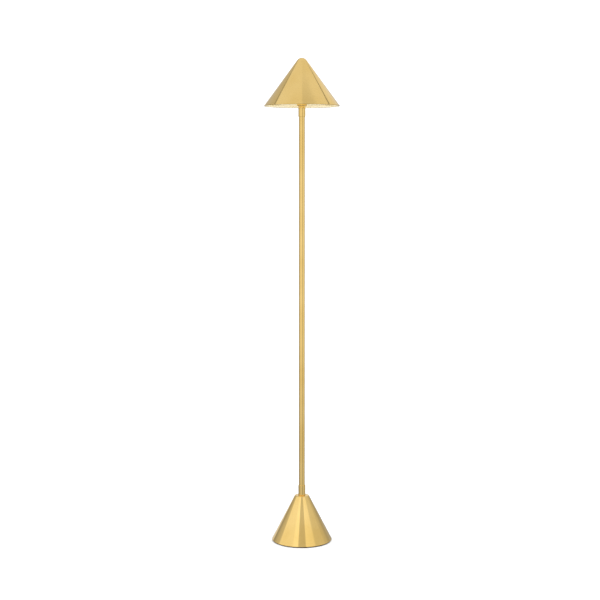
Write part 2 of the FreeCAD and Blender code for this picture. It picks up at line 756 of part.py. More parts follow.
def makeShade():
    body = newBody("shade")
    centre = "(shadeRadius / tan(shadeSlope) - shadeNose / sin(shadeSlope))"
    innerNose = "(shadeNose - shadeWall)"
    rise = "sin(shadeSlope)"
    across = "cos(shadeSlope)"
    hemInner = f"(shadeRadius - {SHADE_WALL_LEVEL} * 2)"
    turned(body, [
        ("shadeRadius", "0"),
        (f"shadeNose * {across}", f"{centre} + shadeNose * {rise}", ("shadeNose", 1)),
        ("0", f"{centre} + shadeNose"),
        ("0", f"{centre} + {innerNose}", (innerNose, -1)),
        (f"{innerNose} * {across}", f"{centre} + {innerNose} * {rise}"),
        (f"shadeRadius - {SHADE_WALL_LEVEL} - hemHeight * tan(shadeSlope)", "hemHeight"),
        (f"{hemInner} - hemHeight * tan(shadeSlope)", "hemHeight"),
        (hemInner, "0"),
    ])
    roundEdges(body, [("shadeRadius", "0"), (hemInner, "0")], "rimRound")
    put(body, z=RIM_Z)


# ---- bulb ----

def makeBulb():
    cap = newBody("bulb_cap")
    inner = "capRadius - capWall"
    turned(cap, [("0", "0"), ("capTip - capTipChamfer", "0"), ("capTip", "capTipChamfer"),
                 ("capTip", "capTipHeight"), ("capRadius - capShoulderSlope", "capSeat"),
                 ("capRadius", "capShoulder"), ("capRadius", "capHeight"), (inner, "capHeight"),
                 (inner, "capShoulder"), ("0", "capSeat")])
    put(cap, z=BULB_Z)

    globeZ = "(bulbLength - globeRadius)"
    neckDrop = "sqrt(globeRadius * globeRadius - globeNeck * globeNeck)"
    insideNeck = "(globeNeck - globeWall)"
    inside = "(globeRadius - globeWall)"
    innerDrop = f"sqrt({inside} * {inside} - {insideNeck} * {insideNeck})"
    neckZ = f"({globeZ} - {neckDrop})"

    collar = newBody("bulb_collar")
    plug = "capRadius - capWall - runningGap"
    plugFoot = "capHeight - bulbCollarPlug"
    seat = "capHeight + solderGap"
    step = "capHeight + bulbCollarStep"
    turned(collar, [("0", plugFoot), (plug, plugFoot), (plug, seat), ("bulbCollarFoot", seat),
                    ("bulbCollarFoot", step), ("globeNeck", f"{neckZ} - bulbCollarEdge"),
                    ("globeNeck", neckZ), ("0", neckZ)])
    put(collar, z=BULB_Z)

    globe = newBody("bulb_globe")
    lift = "solderGap"
    turned(globe, [
        ("globeNeck", f"{neckZ} + {lift}", ("globeRadius", 1)),
        ("globeRadius", f"{globeZ} + {lift}", ("globeRadius", 1)),
        ("0", f"{globeZ} + globeRadius + {lift}"),
        ("0", f"{globeZ} + {inside} + {lift}", (inside, -1)),
        (inside, f"{globeZ} + {lift}", (inside, -1)),
        (insideNeck, f"{globeZ} - {innerDrop} + {lift}"),
    ])
    put(globe, z=BULB_Z)


# ---- the whole lamp ----

makeBasePad()
makeBasePlate()
makePlateScrews()
makeBaseWeight()
makeBaseCone()
makeCordBushing()
makeTerminalBlock()
makeTerminalScrews()
makeEarthScrew()
blockFront = "(blockY - blockDepth / 2 - solderGap)"
ratios = [
    makeLead("inner_lead", "leadRadius", blockFront, "leadZ", "leadBend", "0", SPINDLE_FLOOR_Z, "0"),
    makeLead("earth_lead", "earthLeadRadius", blockFront, "leadZ", "earthBend", "(0 - earthY)",
             f"({EARTH_SCREW_Z} - solderGap)", "earthX"),
]
makeBaseFasteners()
makeCollar("lower_collar", "baseTopZ", 0)
makeCollar("upper_collar", CUP_Z, 180)
makeStem()
makeCollarScrews()
makeUpperNipple()
makeNut("cup_nut", "cupNutHeight", f"{CUP_Z} + cupWall + runningGap")
makeSocketCup()
makeSwitchHousing()
makeSwitchKey()
makeLampholder()
makeShadeRing()
makeShadeCarrier()
makeShade()
makeBulb()
doc.recompute()


# ---- checks before anything is written ----

faults = []
for thing in doc.Objects:
    if "Invalid" in thing.State or "Error" in thing.State:
        faults.append(f"{thing.Label} is {thing.State}")
    if thing.TypeId in ("PartDesign::Pocket", "PartDesign::Groove"):
        before = thing.BaseFeature.Shape.Volume
        if thing.Shape.Volume > before - 0.01:
            faults.append(f"{thing.Label} of {thing.getParentGeoFeatureGroup().Label} cuts nothing")
for node in nodes:
    if node.Shape.isNull() or not node.Shape.isValid() or not node.Shape.Solids:
        faults.append(f"{node.Label} has no valid solid")
for ratio in ratios:
    if abs(ratio - 1) > 0.01:
        faults.append(f"a lead's volume is {ratio:.3f} of its section times its length")
if faults:
    raise SystemExit("\n".join(faults))

os.makedirs("parts", exist_ok=True)
for node in nodes:
    node.Shape.exportStep(f"parts/{node.Label}.step")
    box = node.Shape.BoundBox
    print(f"{node.Label:16s} solids {len(node.Shape.Solids)}  volume {node.Shape.Volume:10.0f}"
          f"  x {box.XMin:7.1f} {box.XMax:7.1f}  y {box.YMin:7.1f} {box.YMax:7.1f}"
          f"  z {box.ZMin:7.1f} {box.ZMax:7.1f}")
print(len(nodes), "nodes")
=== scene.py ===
import json
import math

import bpy
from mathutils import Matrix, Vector


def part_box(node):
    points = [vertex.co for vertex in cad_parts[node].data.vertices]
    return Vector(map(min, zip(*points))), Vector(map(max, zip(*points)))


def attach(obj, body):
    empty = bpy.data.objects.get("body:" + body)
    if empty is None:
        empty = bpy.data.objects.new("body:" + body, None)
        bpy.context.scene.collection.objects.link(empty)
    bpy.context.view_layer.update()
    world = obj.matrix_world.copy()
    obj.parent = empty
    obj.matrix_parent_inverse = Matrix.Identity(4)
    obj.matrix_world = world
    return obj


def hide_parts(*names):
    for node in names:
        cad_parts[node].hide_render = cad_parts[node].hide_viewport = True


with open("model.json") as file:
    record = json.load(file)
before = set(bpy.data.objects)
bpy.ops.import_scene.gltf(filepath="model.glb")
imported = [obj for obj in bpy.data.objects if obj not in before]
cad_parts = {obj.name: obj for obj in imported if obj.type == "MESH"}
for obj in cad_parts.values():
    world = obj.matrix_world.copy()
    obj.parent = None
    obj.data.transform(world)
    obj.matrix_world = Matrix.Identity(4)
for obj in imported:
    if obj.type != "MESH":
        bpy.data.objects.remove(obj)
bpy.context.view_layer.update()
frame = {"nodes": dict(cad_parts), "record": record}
pi = math.pi
mm = 0.001


# camera

cameraSizes = {
    "distance": 3.739,     # from the stem, in metres
    "height": 1.110,
    "pitch": 5.732,        # degrees down from level
    "lens": 75.3,
    "sensor": 36,
    "aside": -0.0056,      # the camera stands this far to the side of the stem
}


def placeCamera():
    data = bpy.data.cameras.new("lampCamera")
    data.lens = cameraSizes["lens"]
    data.sensor_width = cameraSizes["sensor"]
    camera = bpy.data.objects.new("lampCamera", data)
    bpy.context.scene.collection.objects.link(camera)
    camera.location = (cameraSizes["aside"], -cameraSizes["distance"], cameraSizes["height"])
    camera.rotation_euler = (math.radians(90 - cameraSizes["pitch"]), 0, 0)
    bpy.context.scene.camera = camera


placeCamera()
print("camera placed")


# small helpers for node trees

def newNode(tree, kind, place=(0, 0), **settings):
    node = tree.nodes.new(kind)
    node.location = place
    for name, value in settings.items():
        setattr(node, name, value)
    return node


def join(tree, source, output, target, entry):
    tree.links.new(source.outputs[output], target.inputs[entry])


def mathNode(tree, operation, place, first=None, second=None):
    node = newNode(tree, "ShaderNodeMath", place, operation=operation)
    if first is not None:
        node.inputs[0].default_value = first
    if second is not None:
        node.inputs[1].default_value = second
    return node


# shared surface effects, each a group that gives masks and heights that change over the piece

def newGroup(name, inputs, outputs):
    group = bpy.data.node_groups.new(name, "ShaderNodeTree")
    for label, value in inputs.items():
        socket = group.interface.new_socket(label, in_out="INPUT", socket_type="NodeSocketFloat")
        socket.default_value = value
    for label in outputs:
        group.interface.new_socket(label, in_out="OUTPUT", socket_type="NodeSocketFloat")
    start = newNode(group, "NodeGroupInput", (-900, 0))
    finish = newNode(group, "NodeGroupOutput", (900, 0))
    return group, start, finish


latheSizes = {"fineness": 900, "around": 3, "detail": 3, "low": 0.32, "high": 0.68}


def makeLatheLines():
    # fine rings left by the lathe: noise drawn out round the lamp's own axis
    sizes = latheSizes
    inputs = {"Fineness": sizes["fineness"], "Around": sizes["around"]}
    group, start, finish = newGroup("latheLines", inputs, ["Mask", "Height"])
    coords = newNode(group, "ShaderNodeTexCoord", (-900, 300))
    split = newNode(group, "ShaderNodeSeparateXYZ", (-700, 300))
    join(group, coords, "Object", split, 0)
    squareX = mathNode(group, "MULTIPLY", (-500, 400))
    squareY = mathNode(group, "MULTIPLY", (-500, 250))
    for node, output in ((squareX, "X"), (squareY, "Y")):
        join(group, split, output, node, 0)
        join(group, split, output, node, 1)
    total = mathNode(group, "ADD", (-300, 350))
    join(group, squareX, 0, total, 0)
    join(group, squareY, 0, total, 1)
    radius = mathNode(group, "SQRT", (-150, 350))
    join(group, total, 0, radius, 0)
    radiusFine = mathNode(group, "MULTIPLY", (0, 350))
    heightFine = mathNode(group, "MULTIPLY", (0, 200))
    join(group, radius, 0, radiusFine, 0)
    join(group, start, "Fineness", radiusFine, 1)
    join(group, split, "Z", heightFine, 0)
    join(group, start, "Fineness", heightFine, 1)
    angle = mathNode(group, "ARCTAN2", (-150, 50))
    join(group, split, "Y", angle, 0)
    join(group, split, "X", angle, 1)
    angleSine = mathNode(group, "SINE", (0, 50))    # no seam where the angle turns over
    join(group, angle, 0, angleSine, 0)
    angleWide = mathNode(group, "MULTIPLY", (150, 50))
    join(group, angleSine, 0, angleWide, 0)
    join(group, start, "Around", angleWide, 1)
    place = newNode(group, "ShaderNodeCombineXYZ", (300, 200))
    join(group, radiusFine, 0, place, 0)
    join(group, angleWide, 0, place, 1)
    join(group, heightFine, 0, place, 2)
    noise = newNode(group, "ShaderNodeTexNoise", (480, 200))
    noise.inputs["Scale"].default_value = 1
    noise.inputs["Detail"].default_value = sizes["detail"]
    join(group, place, 0, noise, "Vector")
    spread = newNode(group, "ShaderNodeMapRange", (660, 300))
    spread.inputs["From Min"].default_value = sizes["low"]
    spread.inputs["From Max"].default_value = sizes["high"]
    join(group, noise, 0, spread, "Value")
    join(group, spread, 0, finish, "Mask")
    join(group, noise, 0, finish, "Height")
    return group


handlingSizes = {
    "Patches": {"scale": 9, "detail": 4, "low": 0.35, "high": 0.70},
    "Specks": {"scale": 160, "detail": 2, "low": 0.58, "high": 0.74},
}


def makeHandling():
    # soft uneven patches, as on lacquer that has been wiped, and a few finer specks
    scales = {label: sizes["scale"] for label, sizes in handlingSizes.items()}
    group, start, finish = newGroup("handling", scales, list(scales))
    coords = newNode(group, "ShaderNodeTexCoord", (-900, 300))
    for row, (label, sizes) in enumerate(handlingSizes.items()):
        rise = 200 - 400 * row
        noise = newNode(group, "ShaderNodeTexNoise", (-500, rise))
        noise.inputs["Detail"].default_value = sizes["detail"]
        join(group, coords, "Object", noise, "Vector")
        join(group, start, label, noise, "Scale")
        spread = newNode(group, "ShaderNodeMapRange", (-200, rise), interpolation_type="SMOOTHSTEP")
        spread.inputs["From Min"].default_value = sizes["low"]
        spread.inputs["From Max"].default_value = sizes["high"]
        join(group, noise, 0, spread, "Value")
        join(group, spread, 0, finish, label)
    return group


grainSizes = {"grain": 900, "waves": 40, "detail": 5}


def makeMouldGrain():
    # the even pebbled skin of a moulding, or with a coarse scale the skin of a casting
    inputs = {"Grain": grainSizes["grain"], "Waves": grainSizes["waves"]}
    group, start, finish = newGroup("mouldGrain", inputs, ["Mask", "Height"])
    coords = newNode(group, "ShaderNodeTexCoord", (-900, 300))
    cells = newNode(group, "ShaderNodeTexVoronoi", (-500, 300), feature="SMOOTH_F1")
    waves = newNode(group, "ShaderNodeTexNoise", (-500, 0))
    waves.inputs["Detail"].default_value = grainSizes["detail"]
    for node, label in ((cells, "Grain"), (waves, "Waves")):
        join(group, coords, "Object", node, "Vector")
        join(group, start, label, node, "Scale")
    total = mathNode(group, "ADD", (-200, 150))
    join(group, cells, "Distance", total, 0)
    join(group, waves, 0, total, 1)
    join(group, total, 0, finish, "Height")
    join(group, waves, 0, finish, "Mask")
    return group


latheLines = makeLatheLines()
handling = makeHandling()
mouldGrain = makeMouldGrain()


# materials

def newMaterial(name):
    material = bpy.data.materials.new(name)
    material.use_nodes = True
    tree = material.node_tree
    shader = tree.nodes["Principled BSDF"]
    return material, tree, shader


def placeGroup(tree, group, place, **values):
    node = newNode(tree, "ShaderNodeGroup", place, node_tree=group)
    for label, value in values.items():
        node.inputs[label].default_value = value
    return node


def blendColour(tree, shader, mask, output, first, second, place=(-300, 300)):
    mix = newNode(tree, "ShaderNodeMix", place, data_type="RGBA")
    mix.inputs["A"].default_value = (*first, 1)
    mix.inputs["B"].default_value = (*second, 1)
    join(tree, mask, output, mix, "Factor")
    tree.links.new(mix.outputs["Result"], shader.inputs["Base Color"])
    return mix


def spreadRoughness(tree, shader, mask, output, low, high, place=(-300, 50)):
    spread = newNode(tree, "ShaderNodeMapRange", place)
    spread.inputs["To Min"].default_value = low
    spread.inputs["To Max"].default_value = high
    join(tree, mask, output, spread, "Value")
    join(tree, spread, 0, shader, "Roughness")


def addBump(tree, shader, source, output, depth, strength=1.0, place=(-300, -200)):
    bump = newNode(tree, "ShaderNodeBump", place)
    bump.inputs["Distance"].default_value = depth
    bump.inputs["Strength"].default_value = strength
    join(tree, source, output, bump, "Height")
    join(tree, bump, 0, shader, "Normal")


metalSizes = {
    "polishedBrass": {"deep": (0.84, 0.570, 0.175), "pale": (0.93, 0.665, 0.250), "rough": (0.055, 0.115),
                      "coat": 0.15, "rings": 900, "depth": 0.000004},
    "contactBrass": {"deep": (0.66, 0.45, 0.16), "pale": (0.80, 0.58, 0.25), "rough": (0.22, 0.38),
                     "coat": 0.0, "rings": 2500, "depth": 0.000008},
    "zincSteel": {"deep": (0.46, 0.47, 0.49), "pale": (0.66, 0.67, 0.68), "rough": (0.25, 0.42),
                  "coat": 0.0, "rings": 2200, "depth": 0.00001},
    "steelShaft": {"deep": (0.42, 0.42, 0.43), "pale": (0.62, 0.62, 0.62), "rough": (0.18, 0.3),
                   "coat": 0.0, "rings": 4000, "depth": 0.000006},
    "nickelCap": {"deep": (0.55, 0.53, 0.50), "pale": (0.74, 0.72, 0.68), "rough": (0.15, 0.28),
                  "coat": 0.0, "rings": 2500, "depth": 0.000006},
}


metalWear = {"patches": 7, "specks": 220, "dulling": 0.6, "coatRough": 0.06}


def makeMetal(name):
    sizes = metalSizes[name]
    material, tree, shader = newMaterial(name)
    rings = placeGroup(tree, latheLines, (-700, 0), Fineness=sizes["rings"])
    wiped = placeGroup(tree, handling, (-700, 300), Patches=metalWear["patches"], Specks=metalWear["specks"])
    blendColour(tree, shader, wiped, "Patches", sizes["pale"], sizes["deep"])
    dulled = mathNode(tree, "MULTIPLY_ADD", (-500, 50), second=metalWear["dulling"])    # by the specks
    dulled.use_clamp = True
    join(tree, wiped, "Specks", dulled, 0)
    join(tree, rings, "Mask", dulled, 2)
    spreadRoughness(tree, shader, dulled, 0, *sizes["rough"])
    addBump(tree, shader, rings, "Height", sizes["depth"])
    shader.inputs["Metallic"].default_value = 1
    shader.inputs["Coat Weight"].default_value = sizes["coat"]
    shader.inputs["Coat Roughness"].default_value = metalWear["coatRough"]
    return material


mouldingSizes = {
    "castIron": {"deep": (0.020, 0.020, 0.022), "pale": (0.075, 0.072, 0.070), "rough": (0.55, 0.8),
                 "grain": 420, "waves": 60, "depth": 0.00035, "metal": 0.6},
    "darkFelt": {"deep": (0.010, 0.008, 0.006), "pale": (0.035, 0.028, 0.022), "rough": (0.85, 0.98),
                 "grain": 1600, "waves": 300, "depth": 0.0003, "metal": 0},
    "blackMoulding": {"deep": (0.012, 0.012, 0.013), "pale": (0.026, 0.026, 0.027), "rough": (0.38, 0.55),
                      "grain": 2600, "waves": 50, "depth": 0.00003, "metal": 0},
    "creamEnamel": {"deep": (0.90, 0.785, 0.49), "pale": (0.95, 0.855, 0.60), "rough": (0.28, 0.42),
                    "grain": 260, "waves": 14, "depth": 0.00003, "metal": 0},
    "whiteMoulding": {"deep": (0.72, 0.71, 0.67), "pale": (0.84, 0.83, 0.80), "rough": (0.28, 0.4),
                      "grain": 1500, "waves": 30, "depth": 0.00002, "metal": 0},
    "whiteFlex": {"deep": (0.66, 0.65, 0.61), "pale": (0.80, 0.79, 0.76), "rough": (0.4, 0.55),
                  "grain": 1200, "waves": 60, "depth": 0.00002, "metal": 0},
}


mouldingWear = {"patches": 18, "specks": 300}


def makeMoulding(name):
    sizes = mouldingSizes[name]
    material, tree, shader = newMaterial(name)
    skin = placeGroup(tree, mouldGrain, (-700, 0), Grain=sizes["grain"], Waves=sizes["waves"])
    wear = mouldingWear
    wiped = placeGroup(tree, handling, (-700, 300), Patches=wear["patches"], Specks=wear["specks"])
    blendColour(tree, shader, wiped, "Patches", sizes["pale"], sizes["deep"])
    spreadRoughness(tree, shader, skin, "Mask", *sizes["rough"])
    addBump(tree, shader, skin, "Height", sizes["depth"])
    shader.inputs["Metallic"].default_value = sizes["metal"]
    return material


earthSizes = {"lead": 9 * mm, "stripe": 0.42 * mm, "soft": 0.08 * mm, "yellow": (0.75, 0.62, 0.03),
              "green": (0.05, 0.28, 0.06), "rough": (0.4, 0.55), "grain": 1200, "waves": 60, "depth": 0.00002}


def makeEarthFlex():
    # green insulation with a yellow stripe along it; the lead lies in one upright plane
    sizes = earthSizes
    material, tree, shader = newMaterial("earthFlex")
    coords = newNode(tree, "ShaderNodeTexCoord", (-1100, 200))
    split = newNode(tree, "ShaderNodeSeparateXYZ", (-950, 200))
    join(tree, coords, "Object", split, 0)
    aside = mathNode(tree, "SUBTRACT", (-800, 200), second=sizes["lead"])
    join(tree, split, "X", aside, 0)
    far = mathNode(tree, "ABSOLUTE", (-650, 200))
    join(tree, aside, 0, far, 0)
    stripe = newNode(tree, "ShaderNodeMapRange", (-500, 200))
    stripe.inputs["From Min"].default_value = sizes["stripe"]
    stripe.inputs["From Max"].default_value = sizes["stripe"] + sizes["soft"]
    join(tree, far, 0, stripe, "Value")
    blendColour(tree, shader, stripe, 0, sizes["yellow"], sizes["green"])
    skin = placeGroup(tree, mouldGrain, (-700, -100), Grain=sizes["grain"], Waves=sizes["waves"])
    spreadRoughness(tree, shader, skin, "Mask", *sizes["rough"])
    addBump(tree, shader, skin, "Height", sizes["depth"])
    return material


opalSizes = {"pale": (0.93, 0.92, 0.88), "deep": (0.88, 0.86, 0.81), "rough": (0.12, 0.2), "patches": 25,
             "specks": 200, "grain": 600, "waves": 35, "milk": 0.35, "milkReach": (0.006, 0.006, 0.005),
             "coat": 0.5}


def makeOpalGlass():
    material, tree, shader = newMaterial("opalGlass")
    sizes = opalSizes
    wiped = placeGroup(tree, handling, (-700, 200), Patches=sizes["patches"], Specks=sizes["specks"])
    blendColour(tree, shader, wiped, "Patches", sizes["pale"], sizes["deep"])
    skin = placeGroup(tree, mouldGrain, (-700, -100), Grain=sizes["grain"], Waves=sizes["waves"])
    spreadRoughness(tree, shader, skin, "Mask", *sizes["rough"])
    shader.inputs["Subsurface Weight"].default_value = sizes["milk"]
    shader.inputs["Subsurface Radius"].default_value = sizes["milkReach"]
    shader.inputs["Coat Weight"].default_value = sizes["coat"]
    return material


looks = {name: makeMetal(name) for name in metalSizes}
looks.update({name: makeMoulding(name) for name in mouldingSizes})
looks["earthFlex"] = makeEarthFlex()
looks["opalGlass"] = makeOpalGlass()

slotLooks = {
    "polished_brass": "polishedBrass", "contact_brass": "contactBrass", "zinc_steel": "zincSteel",
    "cast_weight": "castIron", "dark_felt": "darkFelt", "black_moulding": "blackMoulding",
    "steel_shaft": "steelShaft", "cream_enamel": "creamEnamel", "white_moulding": "whiteMoulding",
    "white_flex": "whiteFlex", "earth_flex": "earthFlex", "nickel_cap": "nickelCap",
    "opal_glass": "opalGlass",
}
print("materials made")


# modelling helpers

def clearSelection():
    if bpy.context.mode != "OBJECT":
        bpy.ops.object.mode_set(mode="OBJECT")
    bpy.ops.object.select_all(action="DESELECT")


def takeUp(piece):
    clearSelection()
    piece.select_set(True)
    bpy.context.view_layer.objects.active = piece


def turned(arm, angle):
    return Vector((arm.x * math.cos(angle) - arm.y * math.sin(angle),
                   arm.x * math.sin(angle) + arm.y * math.cos(angle)))


holdSizes = {"ofRounding": 0.6, "ofFlat": 0.3, "shortest": 0.02 * mm}


def softLine(corners, closed=True, turnStep=18):
    # corners are (radius, height) or (radius, height, rounding); rounded ones become arcs,
    # with a ring just past each end of the arc to hold the shading of the flat beside it
    line = []
    count = len(corners)
    for i, corner in enumerate(corners):
        here = Vector(corner[:2])
        rounding = corner[2] if len(corner) > 2 else 0
        if not rounding or (not closed and i in (0, count - 1)):
            line.append(here)
            continue
        before = Vector(corners[i - 1][:2]) - here
        after = Vector(corners[(i + 1) % count][:2]) - here
        half = before.angle(after) / 2
        back = rounding / math.tan(half)
        centre = here + (before.normalized() + after.normalized()).normalized() * (rounding / math.sin(half))
        start = here + before.normalized() * back
        finish = here + after.normalized() * back
        steps = max(2, math.ceil((180 - math.degrees(2 * half)) / turnStep))
        flat = min(before.length, after.length) - back
        hold = min(rounding * holdSizes["ofRounding"], flat * holdSizes["ofFlat"])
        if hold > holdSizes["shortest"]:
            line.append(start + before.normalized() * hold)
        arm, lastArm = start - centre, finish - centre
        sweep = math.atan2(arm.cross(lastArm), arm.dot(lastArm))
        for step in range(steps + 1):
            line.append(centre + turned(arm, sweep * step / steps))
        if hold > holdSizes["shortest"]:
            line.append(finish + after.normalized() * hold)
    return line


def fillLine(line, longest):
    # more rings along the long straight stretches
    filled = [line[0]]
    for there in line[1:]:
        here = filled[-1]
        parts = max(1, math.ceil((there - here).length / longest))
        filled += [here.lerp(there, part / parts) for part in range(1, parts + 1)]
    return filled


weldSizes = {"line": 1e-7, "seam": 2e-6, "sliver": 0.01 * mm}


def turnPiece(name, line, steps=64):
    # one vertex is drawn out along the line, and the line is spun round the lamp's axis
    clearSelection()
    bpy.ops.mesh.primitive_plane_add(size=mm, location=(0, 0, 0))
    piece = bpy.context.object
    piece.name = name
    bpy.ops.object.mode_set(mode="EDIT")
    bpy.ops.mesh.select_mode(type="VERT")
    bpy.ops.mesh.merge(type="CENTER")
    bpy.ops.transform.translate(value=(line[0].x, 0, line[0].y))
    onAxis = line[0].x < weldSizes["line"] and line[-1].x < weldSizes["line"]
    here = line[0]
    for there in line[1:] if onAxis else line[1:] + line[:1]:
        step = (there.x - here.x, 0, there.y - here.y)
        bpy.ops.mesh.extrude_region_move(TRANSFORM_OT_translate={"value": step})
        here = there
    bpy.ops.mesh.select_all(action="SELECT")
    bpy.ops.mesh.remove_doubles(threshold=weldSizes["line"])
    bpy.ops.mesh.spin(steps=steps, angle=2 * pi, center=(0, 0, 0), axis=(0, 0, 1))
    bpy.ops.mesh.select_all(action="SELECT")
    bpy.ops.mesh.remove_doubles(threshold=weldSizes["seam"])
    bpy.ops.mesh.normals_make_consistent(inside=False)
    bpy.ops.object.mode_set(mode="OBJECT")
    return piece


def settle(piece):
    # the place goes into the mesh, and the object stays at the origin
    takeUp(piece)
    bpy.ops.object.transform_apply(location=True, rotation=True, scale=True)


def cutWith(piece, cutter, operation="DIFFERENCE"):
    takeUp(piece)
    modifier = piece.modifiers.new("cut", "BOOLEAN")
    modifier.operation = operation
    modifier.solver = "EXACT"
    modifier.object = cutter
    bpy.ops.object.modifier_apply(modifier=modifier.name)
    bpy.data.objects.remove(cutter)
    bpy.ops.object.mode_set(mode="EDIT")
    bpy.ops.mesh.select_all(action="SELECT")
    bpy.ops.mesh.remove_doubles(threshold=weldSizes["sliver"])
    bpy.ops.mesh.dissolve_degenerate(threshold=weldSizes["sliver"])    # slivers along the cut
    bpy.ops.object.mode_set(mode="OBJECT")


def addRod(radius, length, centre, along="Z", sides=48):
    # a plain round rod, used as a cutter
    clearSelection()
    turn = {"X": (0, pi / 2, 0), "Y": (pi / 2, 0, 0), "Z": (0, 0, 0)}[along]
    bpy.ops.mesh.primitive_cylinder_add(vertices=sides, radius=radius, depth=length, location=centre,
                                        rotation=turn)
    settle(bpy.context.object)
    return bpy.context.object


def smoothPiece(piece, angle=30):
    takeUp(piece)
    bpy.ops.object.shade_smooth_by_angle(angle=math.radians(angle))


def finishPiece(piece, slotName, *nodes, body="lamp", angle=30, materials=()):
    smoothPiece(piece, angle)
    piece.data.materials.clear()
    for look in [slotLooks[slotName], *materials]:
        piece.data.materials.append(looks[look])
    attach(piece, body)
    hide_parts(*nodes)
    return piece


# shade: a spun cone with a ball nose and a folded hem, brass outside and enamelled inside

shadeSizes = {
    "slope": math.radians(36.5),
    "nose": 17.5 * mm,
    "wall": 1.2 * mm,
    "hem": 6 * mm,
    "hemRound": 1.15 * mm,
    "bareBead": 2.2 * mm,     # the enamel stops this far above the rim
    "overHem": 2 * mm,
    "hemCrease": 0.3 * mm,
    "hemLip": 0.6 * mm,
    "hemLipRound": 0.4 * mm,
    "rimBand": 3 * mm,
    "noseSteps": 12,
    "facingIn": -0.35,
    "facingDown": -0.2,
    "ringEvery": 7 * mm,
    "steps": 192,
}


def makeShade():
    low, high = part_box("shade")
    sizes = shadeSizes
    slope, nose, wall = sizes["slope"], sizes["nose"], sizes["wall"]
    level = wall / math.cos(slope)
    noseZ = high.z - nose
    sharpR = (noseZ + nose / math.sin(slope) - low.z) * math.tan(slope)

    def wallR(z, inset):
        return sharpR - (z - low.z) * math.tan(slope) - inset

    def noseArc(radius, start, finish):
        count = sizes["noseSteps"]
        spread = [start + (finish - start) * i / count for i in range(count + 1)]
        return [Vector((radius * math.cos(a), noseZ + radius * math.sin(a))) for a in spread]

    hemTop = low.z + sizes["hem"]
    overHem = hemTop + sizes["overHem"]
    band = low.z + sizes["rimBand"]
    foot = softLine([
        (wallR(overHem, level), overHem),
        (wallR(hemTop, level), hemTop, sizes["hemCrease"]),
        (wallR(hemTop, level * 2), hemTop - sizes["hemLip"], sizes["hemLipRound"]),
        (wallR(low.z, level * 2), low.z, sizes["hemRound"]),
        (wallR(low.z, 0), low.z, sizes["hemRound"]),
        (wallR(band, 0), band),
    ], closed=False)
    inner = noseArc(nose - wall, pi / 2, slope)
    outer = noseArc(nose, slope, pi / 2)
    inner[0].x = outer[-1].x = 0
    hold = Vector((math.sin(slope), -math.cos(slope))) * mm
    line = inner + [inner[-1] + hold] + foot + [outer[0] + hold] + outer
    shade = turnPiece("spunShade", fillLine(line, sizes["ringEvery"]), sizes["steps"])
    finishPiece(shade, "polished_brass", "shade", materials=["creamEnamel"])
    for face in shade.data.polygons:
        out = Vector((face.center.x, face.center.y)).normalized()
        facing = face.normal.x * out.x + face.normal.y * out.y
        underside = face.normal.z < sizes["facingDown"] and face.center.z > hemTop
        inside = facing < sizes["facingIn"] or underside
        inside = inside and face.center.z > low.z + sizes["bareBead"]
        face.material_index = 1 if inside else 0
    return shade


makeShade()


# stem and its two sleeves

stemSizes = {"wall": 1.5 * mm, "edge": 0.3 * mm, "steps": 72, "ringEvery": 60 * mm}
sleeveSizes = {"grip": 20 * mm, "thread": 5 * mm, "edge": 0.5 * mm, "mouthEdge": 0.2 * mm, "gap": 0.05 * mm,
               "grubHole": 2.05 * mm, "grubUp": 20 * mm, "cutLength": 10 * mm, "ringEvery": 3 * mm,
               "steps": 72}


def makeStem():
    low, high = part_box("stem_tube")
    outer, inner = high.x, high.x - stemSizes["wall"]
    edge = stemSizes["edge"]
    line = softLine([(outer, low.z, edge), (outer, high.z, edge),
                     (inner, high.z, edge), (inner, low.z, edge)])
    stem = turnPiece("stem", fillLine(line, stemSizes["ringEvery"]), stemSizes["steps"])
    finishPiece(stem, "polished_brass", "stem_tube")


def makeSleeve(name, node, threadEnd):
    low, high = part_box(node)
    sizes = sleeveSizes
    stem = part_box("stem_tube")[1].x + sizes["gap"]
    thread, edge, soft = sizes["thread"], sizes["edge"], sizes["mouthEdge"]
    foot, mouth = (low.z, high.z) if threadEnd == "low" else (high.z, low.z)
    floor = mouth - math.copysign(sizes["grip"], mouth - foot)
    line = softLine([(high.x, foot, edge), (high.x, mouth, edge), (stem, mouth, soft), (stem, floor),
                     (thread, floor), (thread, foot, soft)])
    sleeve = turnPiece(name, fillLine(line, sizes["ringEvery"]), sizes["steps"])
    grubZ = foot + math.copysign(sizes["grubUp"], mouth - foot)
    cutWith(sleeve, addRod(sizes["grubHole"], sizes["cutLength"], (0, high.x, grubZ), "Y"))
    finishPiece(sleeve, "polished_brass", node)


makeStem()
makeSleeve("lowerSleeve", "lower_collar", "low")
makeSleeve("upperSleeve", "upper_collar", "high")


# base: spun cone, and the felt pad that shows as a dark line under it

baseSizes = {
    "wall": 1.5 * mm,
    "shoulder": 3 * mm,
    "topRadius": 21 * mm,
    "footOut": 0.26 * mm,      # the sloping line meets the floor this far outside the rounded foot
    "footEdge": 0.45 * mm,
    "footInside": 0.3 * mm,
    "insideShoulder": 1.5 * mm,
    "holeEdge": 0.2 * mm,
    "turnStep": 9,
    "ringEvery": 6 * mm,
    "steps": 192,
    "nippleHole": 5.2 * mm,
    "bushHole": 5.45 * mm,
    "cutLength": 40 * mm,
}
padSizes = {"edge": 0.7 * mm, "ringEvery": 12 * mm, "steps": 144}


